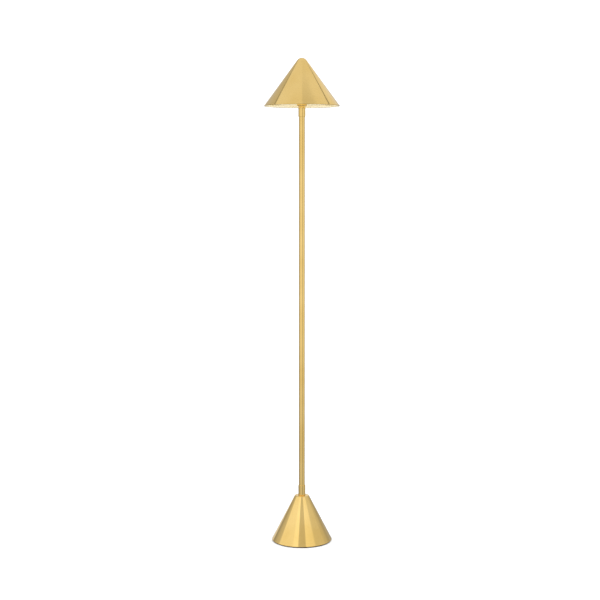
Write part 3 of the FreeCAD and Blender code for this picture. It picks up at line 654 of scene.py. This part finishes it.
def makeBase():
    low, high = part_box("base_cone")
    sizes = baseSizes
    sharpR = high.x + sizes["footOut"]
    fall = (sharpR - sizes["topRadius"]) / (high.z - low.z)
    level = sizes["wall"] * math.sqrt(1 + fall * fall)
    underTop = high.z - sizes["wall"]
    line = softLine([
        (sharpR, low.z, sizes["footEdge"]),
        (sizes["topRadius"], high.z, sizes["shoulder"]),
        (sizes["nippleHole"], high.z, sizes["holeEdge"]),
        (sizes["nippleHole"], underTop),
        (sizes["topRadius"] + sizes["wall"] * fall - level, underTop, sizes["insideShoulder"]),
        (sharpR - level, low.z, sizes["footInside"]),
    ], turnStep=sizes["turnStep"])
    base = turnPiece("spunBase", fillLine(line, sizes["ringEvery"]), sizes["steps"])
    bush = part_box("cord_bushing")
    bushZ = (bush[0].z + bush[1].z) / 2
    cutWith(base, addRod(sizes["bushHole"], sizes["cutLength"], (0, bush[1].y, bushZ), "Y"))
    finishPiece(base, "polished_brass", "base_cone")


def makePad():
    low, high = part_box("base_pad")
    edge = padSizes["edge"]
    line = softLine([(0, low.z), (high.x, low.z, edge), (high.x, high.z, edge), (0, high.z)], closed=False)
    pad = turnPiece("feltPad", fillLine(line, padSizes["ringEvery"]), padSizes["steps"])
    finishPiece(pad, "dark_felt", "base_pad")


makeBase()
makePad()
print("brass pieces made")


# smaller pieces: threaded tubes, nuts, cup, switch, lampholder, bulb, cord bush

def wavyLine(radius, depth, pitch, start, finish, perWave=8):
    # the outline of a thread, from one height to another
    count = max(1, round(abs(finish - start) / pitch)) * perWave
    heights = [start + (finish - start) * i / count for i in range(count + 1)]
    sinks = [depth * (1 - math.cos(2 * pi * i / perWave)) / 2 for i in range(count + 1)]
    return [Vector((radius - sink, z)) for sink, z in zip(sinks, heights)]


ridgePoints = ((-1, 0.08), (0, 0.42), (0, 0.58), (-1, 0.92))    # (depths out, share of the pitch)


def threadLine(radius, depth, pitch, start, finish):
    # a sharper thread: crest and root points only, with short flats
    rise = math.copysign(pitch, finish - start)
    line = []
    for i in range(round(abs(finish - start) / pitch)):
        foot = start + rise * i
        line += [Vector((radius + out * depth, foot + rise * share)) for out, share in ridgePoints]
    return line


def joinPieces(pieces):
    clearSelection()
    for piece in pieces:
        piece.select_set(True)
    bpy.context.view_layer.objects.active = pieces[0]
    bpy.ops.object.join()
    return pieces[0]


def makeRods(radius, length, circle, count, z, sides=20):
    # a ring of cutters standing round the lamp's axis
    rods = []
    for i in range(count):
        angle = 2 * pi * i / count
        place = (circle * math.cos(angle), circle * math.sin(angle), z)
        rods.append(addRod(radius, length, place, sides=sides))
    return joinPieces(rods)


def layAlongY(piece, y, z):
    # a piece that was turned upright is laid with its foot at y, its top towards the front
    takeUp(piece)
    piece.rotation_euler = (pi / 2, 0, 0)
    piece.location = (0, y, z)
    settle(piece)


nippleSizes = {"thread": 1.0 * mm, "depth": 0.55 * mm, "bore": 3.5 * mm, "lead": 0.6 * mm,
               "boreEdge": 0.2 * mm, "steps": 48}
nutSizes = {"flats": 14 * mm, "hole": 5.15 * mm, "chamfer": 0.9 * mm, "faceOut": 0.15 * mm,
            "holeEdge": 0.5 * mm, "spare": 0.5 * mm, "barOver": 2 * mm, "steps": 72}
washerSizes = {"hole": 5.25 * mm, "edge": 0.35 * mm, "steps": 72}


def makeNipple(name, node):
    low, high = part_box(node)
    sizes = nippleSizes
    root = high.x - sizes["depth"]
    foot, top = low.z + sizes["lead"], high.z - sizes["lead"]
    count = max(1, math.floor((top - foot) / sizes["thread"]))
    line = [Vector((root, low.z))]
    line += threadLine(high.x, sizes["depth"], (top - foot) / count, foot, top)
    bore, edge = sizes["bore"], sizes["boreEdge"]
    ends = [(root, high.z), (bore + edge, high.z), (bore, high.z - edge), (bore, low.z + edge),
            (bore + edge, low.z)]
    line += [Vector(point) for point in ends]
    finishPiece(turnPiece(name, line, sizes["steps"]), "zinc_steel", node, angle=20)


def makeNut(name, node):
    # a hexagon with both ends chamfered, as a turned blank meets a six-sided bar
    low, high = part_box(node)
    sizes = nutSizes
    corner = sizes["flats"] / math.sqrt(3)
    reach = sizes["flats"] / 2 + sizes["faceOut"]
    wide = corner + sizes["spare"]
    drop, hole, edge = sizes["chamfer"], sizes["hole"], sizes["holeEdge"]
    line = [(wide, low.z + drop), (wide, high.z - drop), (reach, high.z), (hole + edge, high.z),
            (hole, high.z - edge), (hole, low.z + edge), (hole + edge, low.z), (reach, low.z)]
    nut = turnPiece(name, [Vector(point) for point in line], sizes["steps"])
    clearSelection()
    tall = high.z - low.z + sizes["barOver"]
    bpy.ops.mesh.primitive_cylinder_add(vertices=6, radius=corner, depth=tall,
                                        location=(0, 0, (low.z + high.z) / 2), rotation=(0, 0, pi / 6))
    bar = bpy.context.object
    settle(bar)
    if high.x - low.x > high.y - low.y:    # the bar's corners face the same way as the drawing's
        bar.rotation_euler = (0, 0, pi / 6)
        settle(bar)
    cutWith(nut, bar, "INTERSECT")
    finishPiece(nut, "zinc_steel", node, angle=25)


def makeWasher():
    low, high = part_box("base_washer")
    edge = washerSizes["edge"]
    hole = washerSizes["hole"]
    line = softLine([(hole, low.z, edge), (high.x, low.z, edge),
                     (high.x, high.z, edge), (hole, high.z, edge)])
    finishPiece(turnPiece("baseWasher", line, washerSizes["steps"]), "zinc_steel", "base_washer")


cupSizes = {"wall": 0.8 * mm, "corner": 1.6 * mm, "insideCorner": 0.8 * mm, "lip": 0.35 * mm,
            "hole": 5.15 * mm, "spindleHole": 2.4 * mm, "cutLength": 6 * mm, "ringEvery": 4 * mm,
            "steps": 96}


def makeCup():
    low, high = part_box("socket_cup")
    sizes = cupSizes
    outer, inner = high.x, high.x - sizes["wall"]
    floor = low.z + sizes["wall"]
    line = softLine([(sizes["hole"], low.z), (outer, low.z, sizes["corner"]), (outer, high.z, sizes["lip"]),
                     (inner, high.z, sizes["lip"]), (inner, floor, sizes["insideCorner"]),
                     (sizes["hole"], floor)])
    cup = turnPiece("socketCup", fillLine(line, sizes["ringEvery"]), sizes["steps"])
    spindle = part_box("switch_spindle")
    axisZ = (spindle[0].z + spindle[1].z) / 2
    cutWith(cup, addRod(sizes["spindleHole"], sizes["cutLength"], (0, -outer, axisZ), "Y"))
    finishPiece(cup, "polished_brass", "socket_cup")


knobSizes = {"neck": 1.5 * mm, "collar": 2 * mm, "slope": 1 * mm, "edge": 1.2 * mm, "soft": 0.3 * mm,
             "crease": 0.2 * mm, "flutes": 12, "flute": 0.9 * mm, "fluteOut": 0.5 * mm, "hole": 1.65 * mm,
             "holeEdge": 0.15 * mm, "holeDepth": 11.7 * mm, "ringEvery": 2 * mm, "steps": 96}


def makeKnob():
    low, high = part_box("switch_knob")
    sizes = knobSizes
    radius, length = high.x, high.y - low.y
    neck = radius - sizes["neck"]
    hole, deep, soft = sizes["hole"], sizes["holeDepth"], sizes["soft"]
    grip = sizes["collar"] + sizes["slope"]
    line = softLine([
        (0, deep), (hole, deep), (hole, 0, sizes["holeEdge"]), (neck, 0, soft),
        (neck, sizes["collar"], sizes["crease"]), (radius, grip, soft), (radius, length, sizes["edge"]),
        (0, length),
    ], closed=False)
    knob = turnPiece("switchKnob", fillLine(line, sizes["ringEvery"]), sizes["steps"])
    circle = radius + sizes["fluteOut"]
    cutWith(knob, makeRods(sizes["flute"], length, circle, sizes["flutes"], grip + length / 2))
    layAlongY(knob, high.y, (low.z + high.z) / 2)
    finishPiece(knob, "black_moulding", "switch_knob", body="switch_key", angle=25)


holderSizes = {"shoulder": 12.5 * mm, "threadRadius": 13.4 * mm, "threadDepth": 0.9 * mm, "pitch": 2.3 * mm,
               "threadFoot": 1.5 * mm, "threadTop": 1 * mm, "bore": 7.65 * mm, "floor": 4 * mm,
               "throat": 6 * mm, "skirtEdge": 0.6 * mm, "edge": 0.4 * mm, "rimEdge": 0.5 * mm,
               "ringEvery": 4 * mm, "steps": 96}
ringSizes = {"flange": 2 * mm, "grip": 2.5 * mm, "hole": 13.45 * mm, "notches": 12, "notch": 1.1 * mm,
             "notchIn": 1.9 * mm, "cutLength": 20 * mm, "footEdge": 0.2 * mm, "edge": 0.4 * mm,
             "crease": 0.3 * mm, "topEdge": 0.6 * mm, "ringEvery": 2 * mm, "steps": 96}


def makeHolder():
    low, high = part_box("lampholder_body")
    sizes = holderSizes
    skirt, thread = high.x, sizes["threadRadius"]
    shoulder = low.z + sizes["shoulder"]
    floor, depth, edge = low.z + sizes["floor"], sizes["threadDepth"], sizes["edge"]
    root = thread - depth
    body = softLine([(sizes["throat"], low.z), (skirt, low.z, sizes["skirtEdge"]), (skirt, shoulder, edge),
                     (root, shoulder)], closed=False)
    threadFoot, threadTop = shoulder + sizes["threadFoot"], high.z - sizes["threadTop"]
    body += threadLine(thread, depth, sizes["pitch"], threadFoot, threadTop)
    body += softLine([(root, high.z - depth), (root, high.z, sizes["rimEdge"]), (sizes["bore"], high.z, edge),
                      (sizes["bore"], floor), (sizes["throat"], floor)], closed=False)
    holder = turnPiece("lampholder", fillLine(body, sizes["ringEvery"]), sizes["steps"])
    finishPiece(holder, "black_moulding", "lampholder_body", angle=25)


def makeRing():
    low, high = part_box("shade_ring")
    sizes = ringSizes
    wide, grip = high.x, high.x - sizes["grip"]
    step, hole, edge, crease = low.z + sizes["flange"], sizes["hole"], sizes["edge"], sizes["crease"]
    line = softLine([(hole, low.z, sizes["footEdge"]), (wide, low.z, edge), (wide, step, edge),
                     (grip, step, crease), (grip, high.z, sizes["topEdge"]), (hole, high.z, crease)])
    ring = turnPiece("shadeRing", fillLine(line, sizes["ringEvery"]), sizes["steps"])
    circle = wide - sizes["notchIn"]
    cutWith(ring, makeRods(sizes["notch"], sizes["cutLength"], circle, sizes["notches"], high.z))
    finishPiece(ring, "black_moulding", "shade_ring", angle=25)


screwSizes = {"wall": 0.35 * mm, "depth": 0.22 * mm, "pitch": 2.8 * mm, "lip": 1.2 * mm, "hole": 4.5 * mm,
              "steps": 72}


def makeShell():
    low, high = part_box("screw_shell")
    sizes = screwSizes
    outer, wall = high.x, sizes["wall"]
    start, finish = low.z + sizes["lip"], high.z - sizes["lip"]
    outside = wavyLine(outer, sizes["depth"], sizes["pitch"], start, finish)
    inside = [Vector((point.x - wall, point.y)) for point in reversed(outside)]
    line = [Vector((sizes["hole"], low.z)), Vector((outer, low.z))] + outside
    line += [Vector((outer, high.z)), Vector((outer - wall, high.z))] + inside
    line += [Vector((outer - wall, low.z + wall)), Vector((sizes["hole"], low.z + wall))]
    finishPiece(turnPiece("screwShell", line, sizes["steps"]), "contact_brass", "screw_shell", angle=40)


capSizes = {"wall": 0.5 * mm, "thread": 0.35 * mm, "pitch": 2.8 * mm, "tip": 2.4 * mm, "tipEdge": 0.4 * mm,
            "washer": 3 * mm, "washerFoot": 0.9 * mm, "washerTop": 1.4 * mm, "edge": 0.2 * mm,
            "cone": 1 * mm, "coneTop": 2.6 * mm, "coneEdge": 0.3 * mm, "bend": 4 * mm,
            "threadFoot": 5 * mm, "threadTop": 2 * mm, "steps": 72}


def makeCap():
    low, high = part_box("bulb_cap")
    sizes = capSizes
    outer, wall, washer = high.x, sizes["wall"], sizes["washer"]
    coneTop, bend = low.z + sizes["coneTop"], low.z + sizes["bend"]
    contact = softLine([(0, low.z), (sizes["tip"], low.z, sizes["tipEdge"]),
                        (washer, low.z + sizes["washerFoot"], sizes["edge"]),
                        (washer, low.z + sizes["washerTop"]),
                        (outer - sizes["cone"], coneTop, sizes["coneEdge"]), (outer, bend)], closed=False)
    threadFoot, threadTop = low.z + sizes["threadFoot"], high.z - sizes["threadTop"]
    outside = wavyLine(outer, sizes["thread"], sizes["pitch"], threadFoot, threadTop)
    inside = [Vector((point.x - wall, point.y)) for point in reversed(outside)]
    line = contact + outside + [Vector((outer, high.z)), Vector((outer - wall, high.z))] + inside
    line += [Vector((outer - wall, bend)), Vector((0, coneTop))]
    finishPiece(turnPiece("bulbCap", line, sizes["steps"]), "nickel_cap", "bulb_cap", angle=40)


collarSizes = {"foot": 9 * mm, "footTall": 3 * mm, "footEdge": 0.5 * mm, "capGap": 0.6 * mm,
               "capClear": 0.1 * mm, "bend": 1.2 * mm, "rim": 2 * mm, "rimEdge": 0.3 * mm, "fins": 28,
               "finDepth": 0.7 * mm, "finWidth": 0.55 * mm, "finLength": 9 * mm, "finOut": 0.4 * mm,
               "ringEvery": 2 * mm, "steps": 112}


def makeBulbCollar():
    # the white heat sink between cap and globe, with shallow fins
    low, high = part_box("bulb_collar")
    sizes = collarSizes
    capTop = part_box("bulb_cap")[1]
    inner, under = capTop.x - sizes["capGap"], capTop.z + sizes["capClear"]
    foot, step, bend = sizes["foot"], capTop.z + sizes["footTall"], sizes["bend"]
    rim = high.z - sizes["rim"]
    line = softLine([
        (0, low.z), (inner, low.z), (inner, under), (foot, under, sizes["footEdge"]), (foot, step, bend),
        (high.x, rim, bend), (high.x, high.z, sizes["rimEdge"]), (0, high.z),
    ], closed=False)
    collar = turnPiece("bulbCollar", fillLine(line, sizes["ringEvery"]), sizes["steps"])
    slope = math.atan2(high.x - foot, rim - step)
    slots = []
    for i in range(sizes["fins"]):
        clearSelection()
        bpy.ops.mesh.primitive_cube_add(size=1, location=(0, 0, 0))
        slot = bpy.context.object
        slot.scale = (2 * sizes["finDepth"], sizes["finWidth"], sizes["finLength"])
        slot.rotation_euler = (0, slope, 0)
        slot.location = ((foot + high.x) / 2 + sizes["finOut"], 0, (step + rim) / 2)
        settle(slot)
        slot.rotation_euler = (0, 0, 2 * pi * (i + 0.5) / sizes["fins"])
        settle(slot)
        slots.append(slot)
    cutWith(collar, joinPieces(slots))
    finishPiece(collar, "white_moulding", "bulb_collar", angle=30)


globeSizes = {"neck": 16 * mm, "wall": 1.0 * mm, "arcSteps": 32, "steps": 112}


def makeGlobe():
    low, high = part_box("bulb_globe")
    sizes = globeSizes
    radius, wall, neck = high.x, sizes["wall"], sizes["neck"]
    middle = high.z - radius
    inside = radius - wall
    outerStart = -math.acos(neck / radius)
    innerStart = -math.acos((neck - wall) / inside)

    def arc(size, start, finish):
        count = sizes["arcSteps"]
        spread = [start + (finish - start) * i / count for i in range(count + 1)]
        return [Vector((size * math.cos(a), middle + size * math.sin(a))) for a in spread]

    inner = arc(inside, pi / 2, innerStart)
    outer = arc(radius, outerStart, pi / 2)
    inner[0].x = outer[-1].x = 0
    inner[-1].y = outer[0].y = low.z
    line = inner + outer
    finishPiece(turnPiece("bulbGlobe", line, sizes["steps"]), "opal_glass", "bulb_globe", angle=40)


bushSizes = {"sleeve": 5.35 * mm, "barb": 1 * mm, "barbLead": 0.8 * mm, "barbLength": 3 * mm,
             "barbEdge": 0.2 * mm, "bore": 3.75 * mm, "boreEdge": 0.3 * mm, "flangeFoot": 4 * mm,
             "edge": 0.7 * mm, "mouth": 0.9 * mm, "gap": 0.1 * mm, "cutDepth": 12 * mm, "cutShare": 3,
             "cutLength": 60 * mm, "ringEvery": 1.5 * mm, "steps": 72}


def makeBush():
    # a plain turned bush, its flange cut away where the base's sloping wall stands
    low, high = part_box("cord_bushing")
    sizes = bushSizes
    length, flange, sleeve, bore = high.y - low.y, high.x, sizes["sleeve"], sizes["bore"]
    barb, barbLength = sleeve + sizes["barb"], sizes["barbLength"]
    flangeFoot, soft = sizes["flangeFoot"], sizes["barbEdge"]
    line = softLine([
        (bore, 0, sizes["boreEdge"]), (sleeve, 0), (barb, sizes["barbLead"], soft), (barb, barbLength, soft),
        (sleeve, barbLength), (sleeve, flangeFoot), (flange, flangeFoot), (flange, length, sizes["edge"]),
        (bore, length, sizes["mouth"]),
    ])
    bush = turnPiece("cordBush", fillLine(line, sizes["ringEvery"]), sizes["steps"])
    takeUp(bush)
    bush.rotation_euler = (-pi / 2, 0, 0)
    bush.location = (0, low.y, (low.z + high.z) / 2)
    settle(bush)
    coneLow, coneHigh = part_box("base_cone")
    sharpR = coneHigh.x + baseSizes["footOut"]
    tall = coneHigh.z - coneLow.z
    fall = (sharpR - baseSizes["topRadius"]) / tall
    gap, share = sizes["gap"], sizes["cutShare"]
    inset = sharpR - sizes["cutDepth"]
    rise, back = tall / share, fall * tall / share
    sheath = [Vector(point) for point in (
        (inset, coneLow.z), (sharpR + gap, coneLow.z),
        (sharpR + gap - back, coneLow.z + rise), (inset - back, coneLow.z + rise))]
    wall = turnPiece("wallCutter", sheath, baseSizes["steps"])
    cutWith(wall, addRod(barb + gap, sizes["cutLength"], (0, low.y, (low.z + high.z) / 2), "Y"))
    cutWith(bush, wall)
    finishPiece(bush, "black_moulding", "cord_bushing", angle=25)


makeBush()
makeNipple("baseNipple", "base_nipple")
makeNipple("upperNipple", "upper_nipple")
makeNut("baseNut", "base_nut")
makeNut("cupNut", "cup_nut")
makeWasher()
makeCup()
makeKnob()
makeHolder()
makeRing()
makeShell()
makeCap()
makeBulbCollar()
makeGlobe()
print("smaller pieces made")


# the CAD nodes that stay take the look of their own slot

def dressNodes():
    slots = {part["node"]: part["material_slot"] for part in frame["record"]["subparts"]}
    for name, node in frame["nodes"].items():
        if node.hide_render:
            continue
        node.data.materials.clear()
        node.data.materials.append(looks[slotLooks[slots[name]]])


dressNodes()


# room: white floor, soft white light all round, and broad soft boxes that the metal mirrors

roomSizes = {
    "floor": 60,
    "floorWhite": 0.92,
    "skyForShading": 1.4,
    # (degrees round from the camera, brightness) for the walls of the studio
    "walls": [(-180, 0.85), (-166, 0.85), (-158, 0.36), (-140, 0.44), (-104, 0.62), (-96, 1.0), (-42, 1.03),
              (-34, 1.16), (-17, 1.19), (-14, 0.68), (16, 0.68), (19, 1.08), (52, 1.02), (64, 0.76),
              (98, 0.74), (108, 0.64), (140, 0.46), (158, 0.36), (166, 0.85), (180, 0.85)],
    "lowTurn": 22,         # degrees that the walls are turned by below eye level
    "ceiling": 0.84,
    "screen": 0.66,        # a grey screen that hangs over the front edge of the ceiling light
    "behindLeft": 0.58,
    "behindRight": 0.86,
    "gap": 0.34,
    "atEyeLevel": 0.90,    # the share of their light that the walls keep at eye level and lower
    "lowWalls": 0.70,      # and near the floor
    "below": 0.22,
}

# soft edges between the room's areas, as the height or the side of the direction that is looked in,
# where 1 is straight up or straight to the right
roomEdges = {
    "lowTurn": (0.15, 0.0),
    "behind": (0.24, 0.36),
    "behindTurn": (math.radians(112), math.radians(120)),
    "behindSide": (-0.05, 0.05),
    "gap": (0.672, 0.655),
    "ceiling": (0.690, 0.705),
    "screen": (-0.218, -0.236),
    "screenSide": (-0.01, 0.03),
    "screenCurve": -0.85,
    "eyeLevel": (0.22, 0.12),
    "nearFloor": (-0.10, -0.27),
    "under": (-0.56, -0.70),
}


def makeFloor():
    clearSelection()
    bpy.ops.mesh.primitive_plane_add(size=roomSizes["floor"], location=(0, 0, 0))
    floor = bpy.context.object
    floor.name = "studioFloor"
    material, tree, shader = newMaterial("studioWhite")
    white = roomSizes["floorWhite"]
    shader.inputs["Base Color"].default_value = (white, white, white, 1)
    shader.inputs["Roughness"].default_value = 1
    shader.inputs["Specular IOR Level"].default_value = 0
    floor.data.materials.append(material)
    floor.visible_glossy = False


def edgeNode(tree, place, edge, source, output):
    node = newNode(tree, "ShaderNodeMapRange", place, interpolation_type="SMOOTHSTEP")
    node.inputs["From Min"].default_value, node.inputs["From Max"].default_value = roomEdges[edge]
    join(tree, source, output, node, "Value")
    return node


def mixNumbers(tree, place, factor, first, second):
    # each of first and second is a number or a node whose first output is taken
    node = newNode(tree, "ShaderNodeMix", place)
    join(tree, factor, 0, node, "Factor")
    for entry, value in (("A", first), ("B", second)):
        if isinstance(value, (int, float)):
            node.inputs[entry].default_value = value
        else:
            join(tree, value, 0, node, entry)
    return node


def timesNode(tree, place, first, second):
    node = mathNode(tree, "MULTIPLY", place)
    join(tree, first, 0, node, 0)
    join(tree, second, 0, node, 1)
    return node


def makeWalls(tree, split, around):
    # brightness by the turn round from the camera
    low = edgeNode(tree, (-1000, -300), "lowTurn", split, "Z")
    low.inputs["To Max"].default_value = -roomSizes["lowTurn"] / 360
    share = mathNode(tree, "MULTIPLY_ADD", (-700, 0), second=1 / (2 * pi))
    share.inputs[2].default_value = 0.5
    join(tree, around, 0, share, 0)
    shifted = mathNode(tree, "ADD", (-620, -100))
    join(tree, share, 0, shifted, 0)
    join(tree, low, 0, shifted, 1)
    ramp = newNode(tree, "ShaderNodeValToRGB", (-550, 0))
    ramp.color_ramp.interpolation = "EASE"
    stops = roomSizes["walls"]
    for i, (angle, light) in enumerate(stops):
        at = angle / 360 + 0.5
        if i == 0:
            stop = ramp.color_ramp.elements[0]
        elif i == len(stops) - 1:
            stop = ramp.color_ramp.elements[-1]
        else:
            stop = ramp.color_ramp.elements.new(at)
        stop.position = at
        stop.color = (light / 2, light / 2, light / 2, 1)    # halved here, since a stop ends at 1
    join(tree, shifted, 0, ramp, 0)
    walls = mathNode(tree, "MULTIPLY", (-250, 0), second=2)
    join(tree, ramp, 0, walls, 0)
    return walls


def makeBehind(tree, split, around, walls):
    # high panels behind the lamp, darker on the left; a gap is left between them and the ceiling
    turn = mathNode(tree, "ABSOLUTE", (-700, 250))
    join(tree, around, 0, turn, 0)
    past = edgeNode(tree, (-500, 250), "behindTurn", turn, 0)
    lifted = edgeNode(tree, (-500, 450), "behind", split, "Z")
    belowGap = edgeNode(tree, (-500, 650), "gap", split, "Z")
    mask = timesNode(tree, (-300, 350), past, lifted)
    side = edgeNode(tree, (-400, 800), "behindSide", split, "X")
    panels = mixNumbers(tree, (-200, 700), side, roomSizes["behindLeft"], roomSizes["behindRight"])
    light = mixNumbers(tree, (-100, 600), belowGap, roomSizes["gap"], panels)
    return mixNumbers(tree, (0, 100), mask, walls, light)


def makeCeiling(tree, split):
    # one wide ceiling light with a grey screen across part of its front edge
    squareX = mathNode(tree, "MULTIPLY", (-700, 1000))
    join(tree, split, "X", squareX, 0)
    join(tree, split, "X", squareX, 1)
    curve = mathNode(tree, "MULTIPLY_ADD", (-550, 1000), second=roomEdges["screenCurve"])
    join(tree, squareX, 0, curve, 0)
    join(tree, split, "Y", curve, 2)
    front = edgeNode(tree, (-400, 1000), "screen", curve, 0)
    right = edgeNode(tree, (-400, 1200), "screenSide", split, "X")
    screen = timesNode(tree, (-200, 1100), front, right)
    return mixNumbers(tree, (0, 1000), screen, roomSizes["ceiling"], roomSizes["screen"])


def makeStudioLight():
    world = bpy.data.worlds.new("studio")
    world.use_nodes = True
    bpy.context.scene.world = world
    tree = world.node_tree
    tree.nodes.clear()
    coords = newNode(tree, "ShaderNodeTexCoord", (-1400, 0))
    split = newNode(tree, "ShaderNodeSeparateXYZ", (-1200, 0))
    join(tree, coords, "Generated", split, 0)
    towards = mathNode(tree, "MULTIPLY", (-1000, -100), second=-1)
    join(tree, split, "Y", towards, 0)
    around = mathNode(tree, "ARCTAN2", (-850, 0))
    join(tree, split, "X", around, 0)
    join(tree, towards, 0, around, 1)
    walls = makeWalls(tree, split, around)
    behind = makeBehind(tree, split, around, walls)
    over = edgeNode(tree, (-100, 400), "ceiling", split, "Z")
    roof = mixNumbers(tree, (200, 100), over, behind, makeCeiling(tree, split))
    eyeLevel = edgeNode(tree, (0, -650), "eyeLevel", split, "Z")
    nearFloor = edgeNode(tree, (0, -450), "nearFloor", split, "Z")
    keptLow = mixNumbers(tree, (150, -650), eyeLevel, 1, roomSizes["atEyeLevel"])
    keptFloor = mixNumbers(tree, (150, -450), nearFloor, 1, roomSizes["lowWalls"])
    share = timesNode(tree, (300, -500), keptLow, keptFloor)
    under = edgeNode(tree, (0, -250), "under", split, "Z")
    walled = timesNode(tree, (300, -200), roof, share)
    mirrored = mixNumbers(tree, (400, 100), under, walled, roomSizes["below"])

    path = newNode(tree, "ShaderNodeLightPath", (200, 500))
    shaded = newNode(tree, "ShaderNodeBackground", (600, -100))
    shaded.inputs["Strength"].default_value = roomSizes["skyForShading"]
    seen = newNode(tree, "ShaderNodeBackground", (600, 300))
    for background in (shaded, seen):
        background.inputs["Color"].default_value = (1, 1, 1, 1)
    join(tree, mirrored, 0, seen, "Strength")
    choice = newNode(tree, "ShaderNodeMixShader", (800, 100))
    join(tree, path, "Is Glossy Ray", choice, 0)
    join(tree, shaded, 0, choice, 1)
    join(tree, seen, 0, choice, 2)
    finish = newNode(tree, "ShaderNodeOutputWorld", (1000, 100))
    join(tree, choice, 0, finish, "Surface")


makeFloor()
makeStudioLight()
bpy.context.scene.view_settings.view_transform = "Standard"
print("room lit")
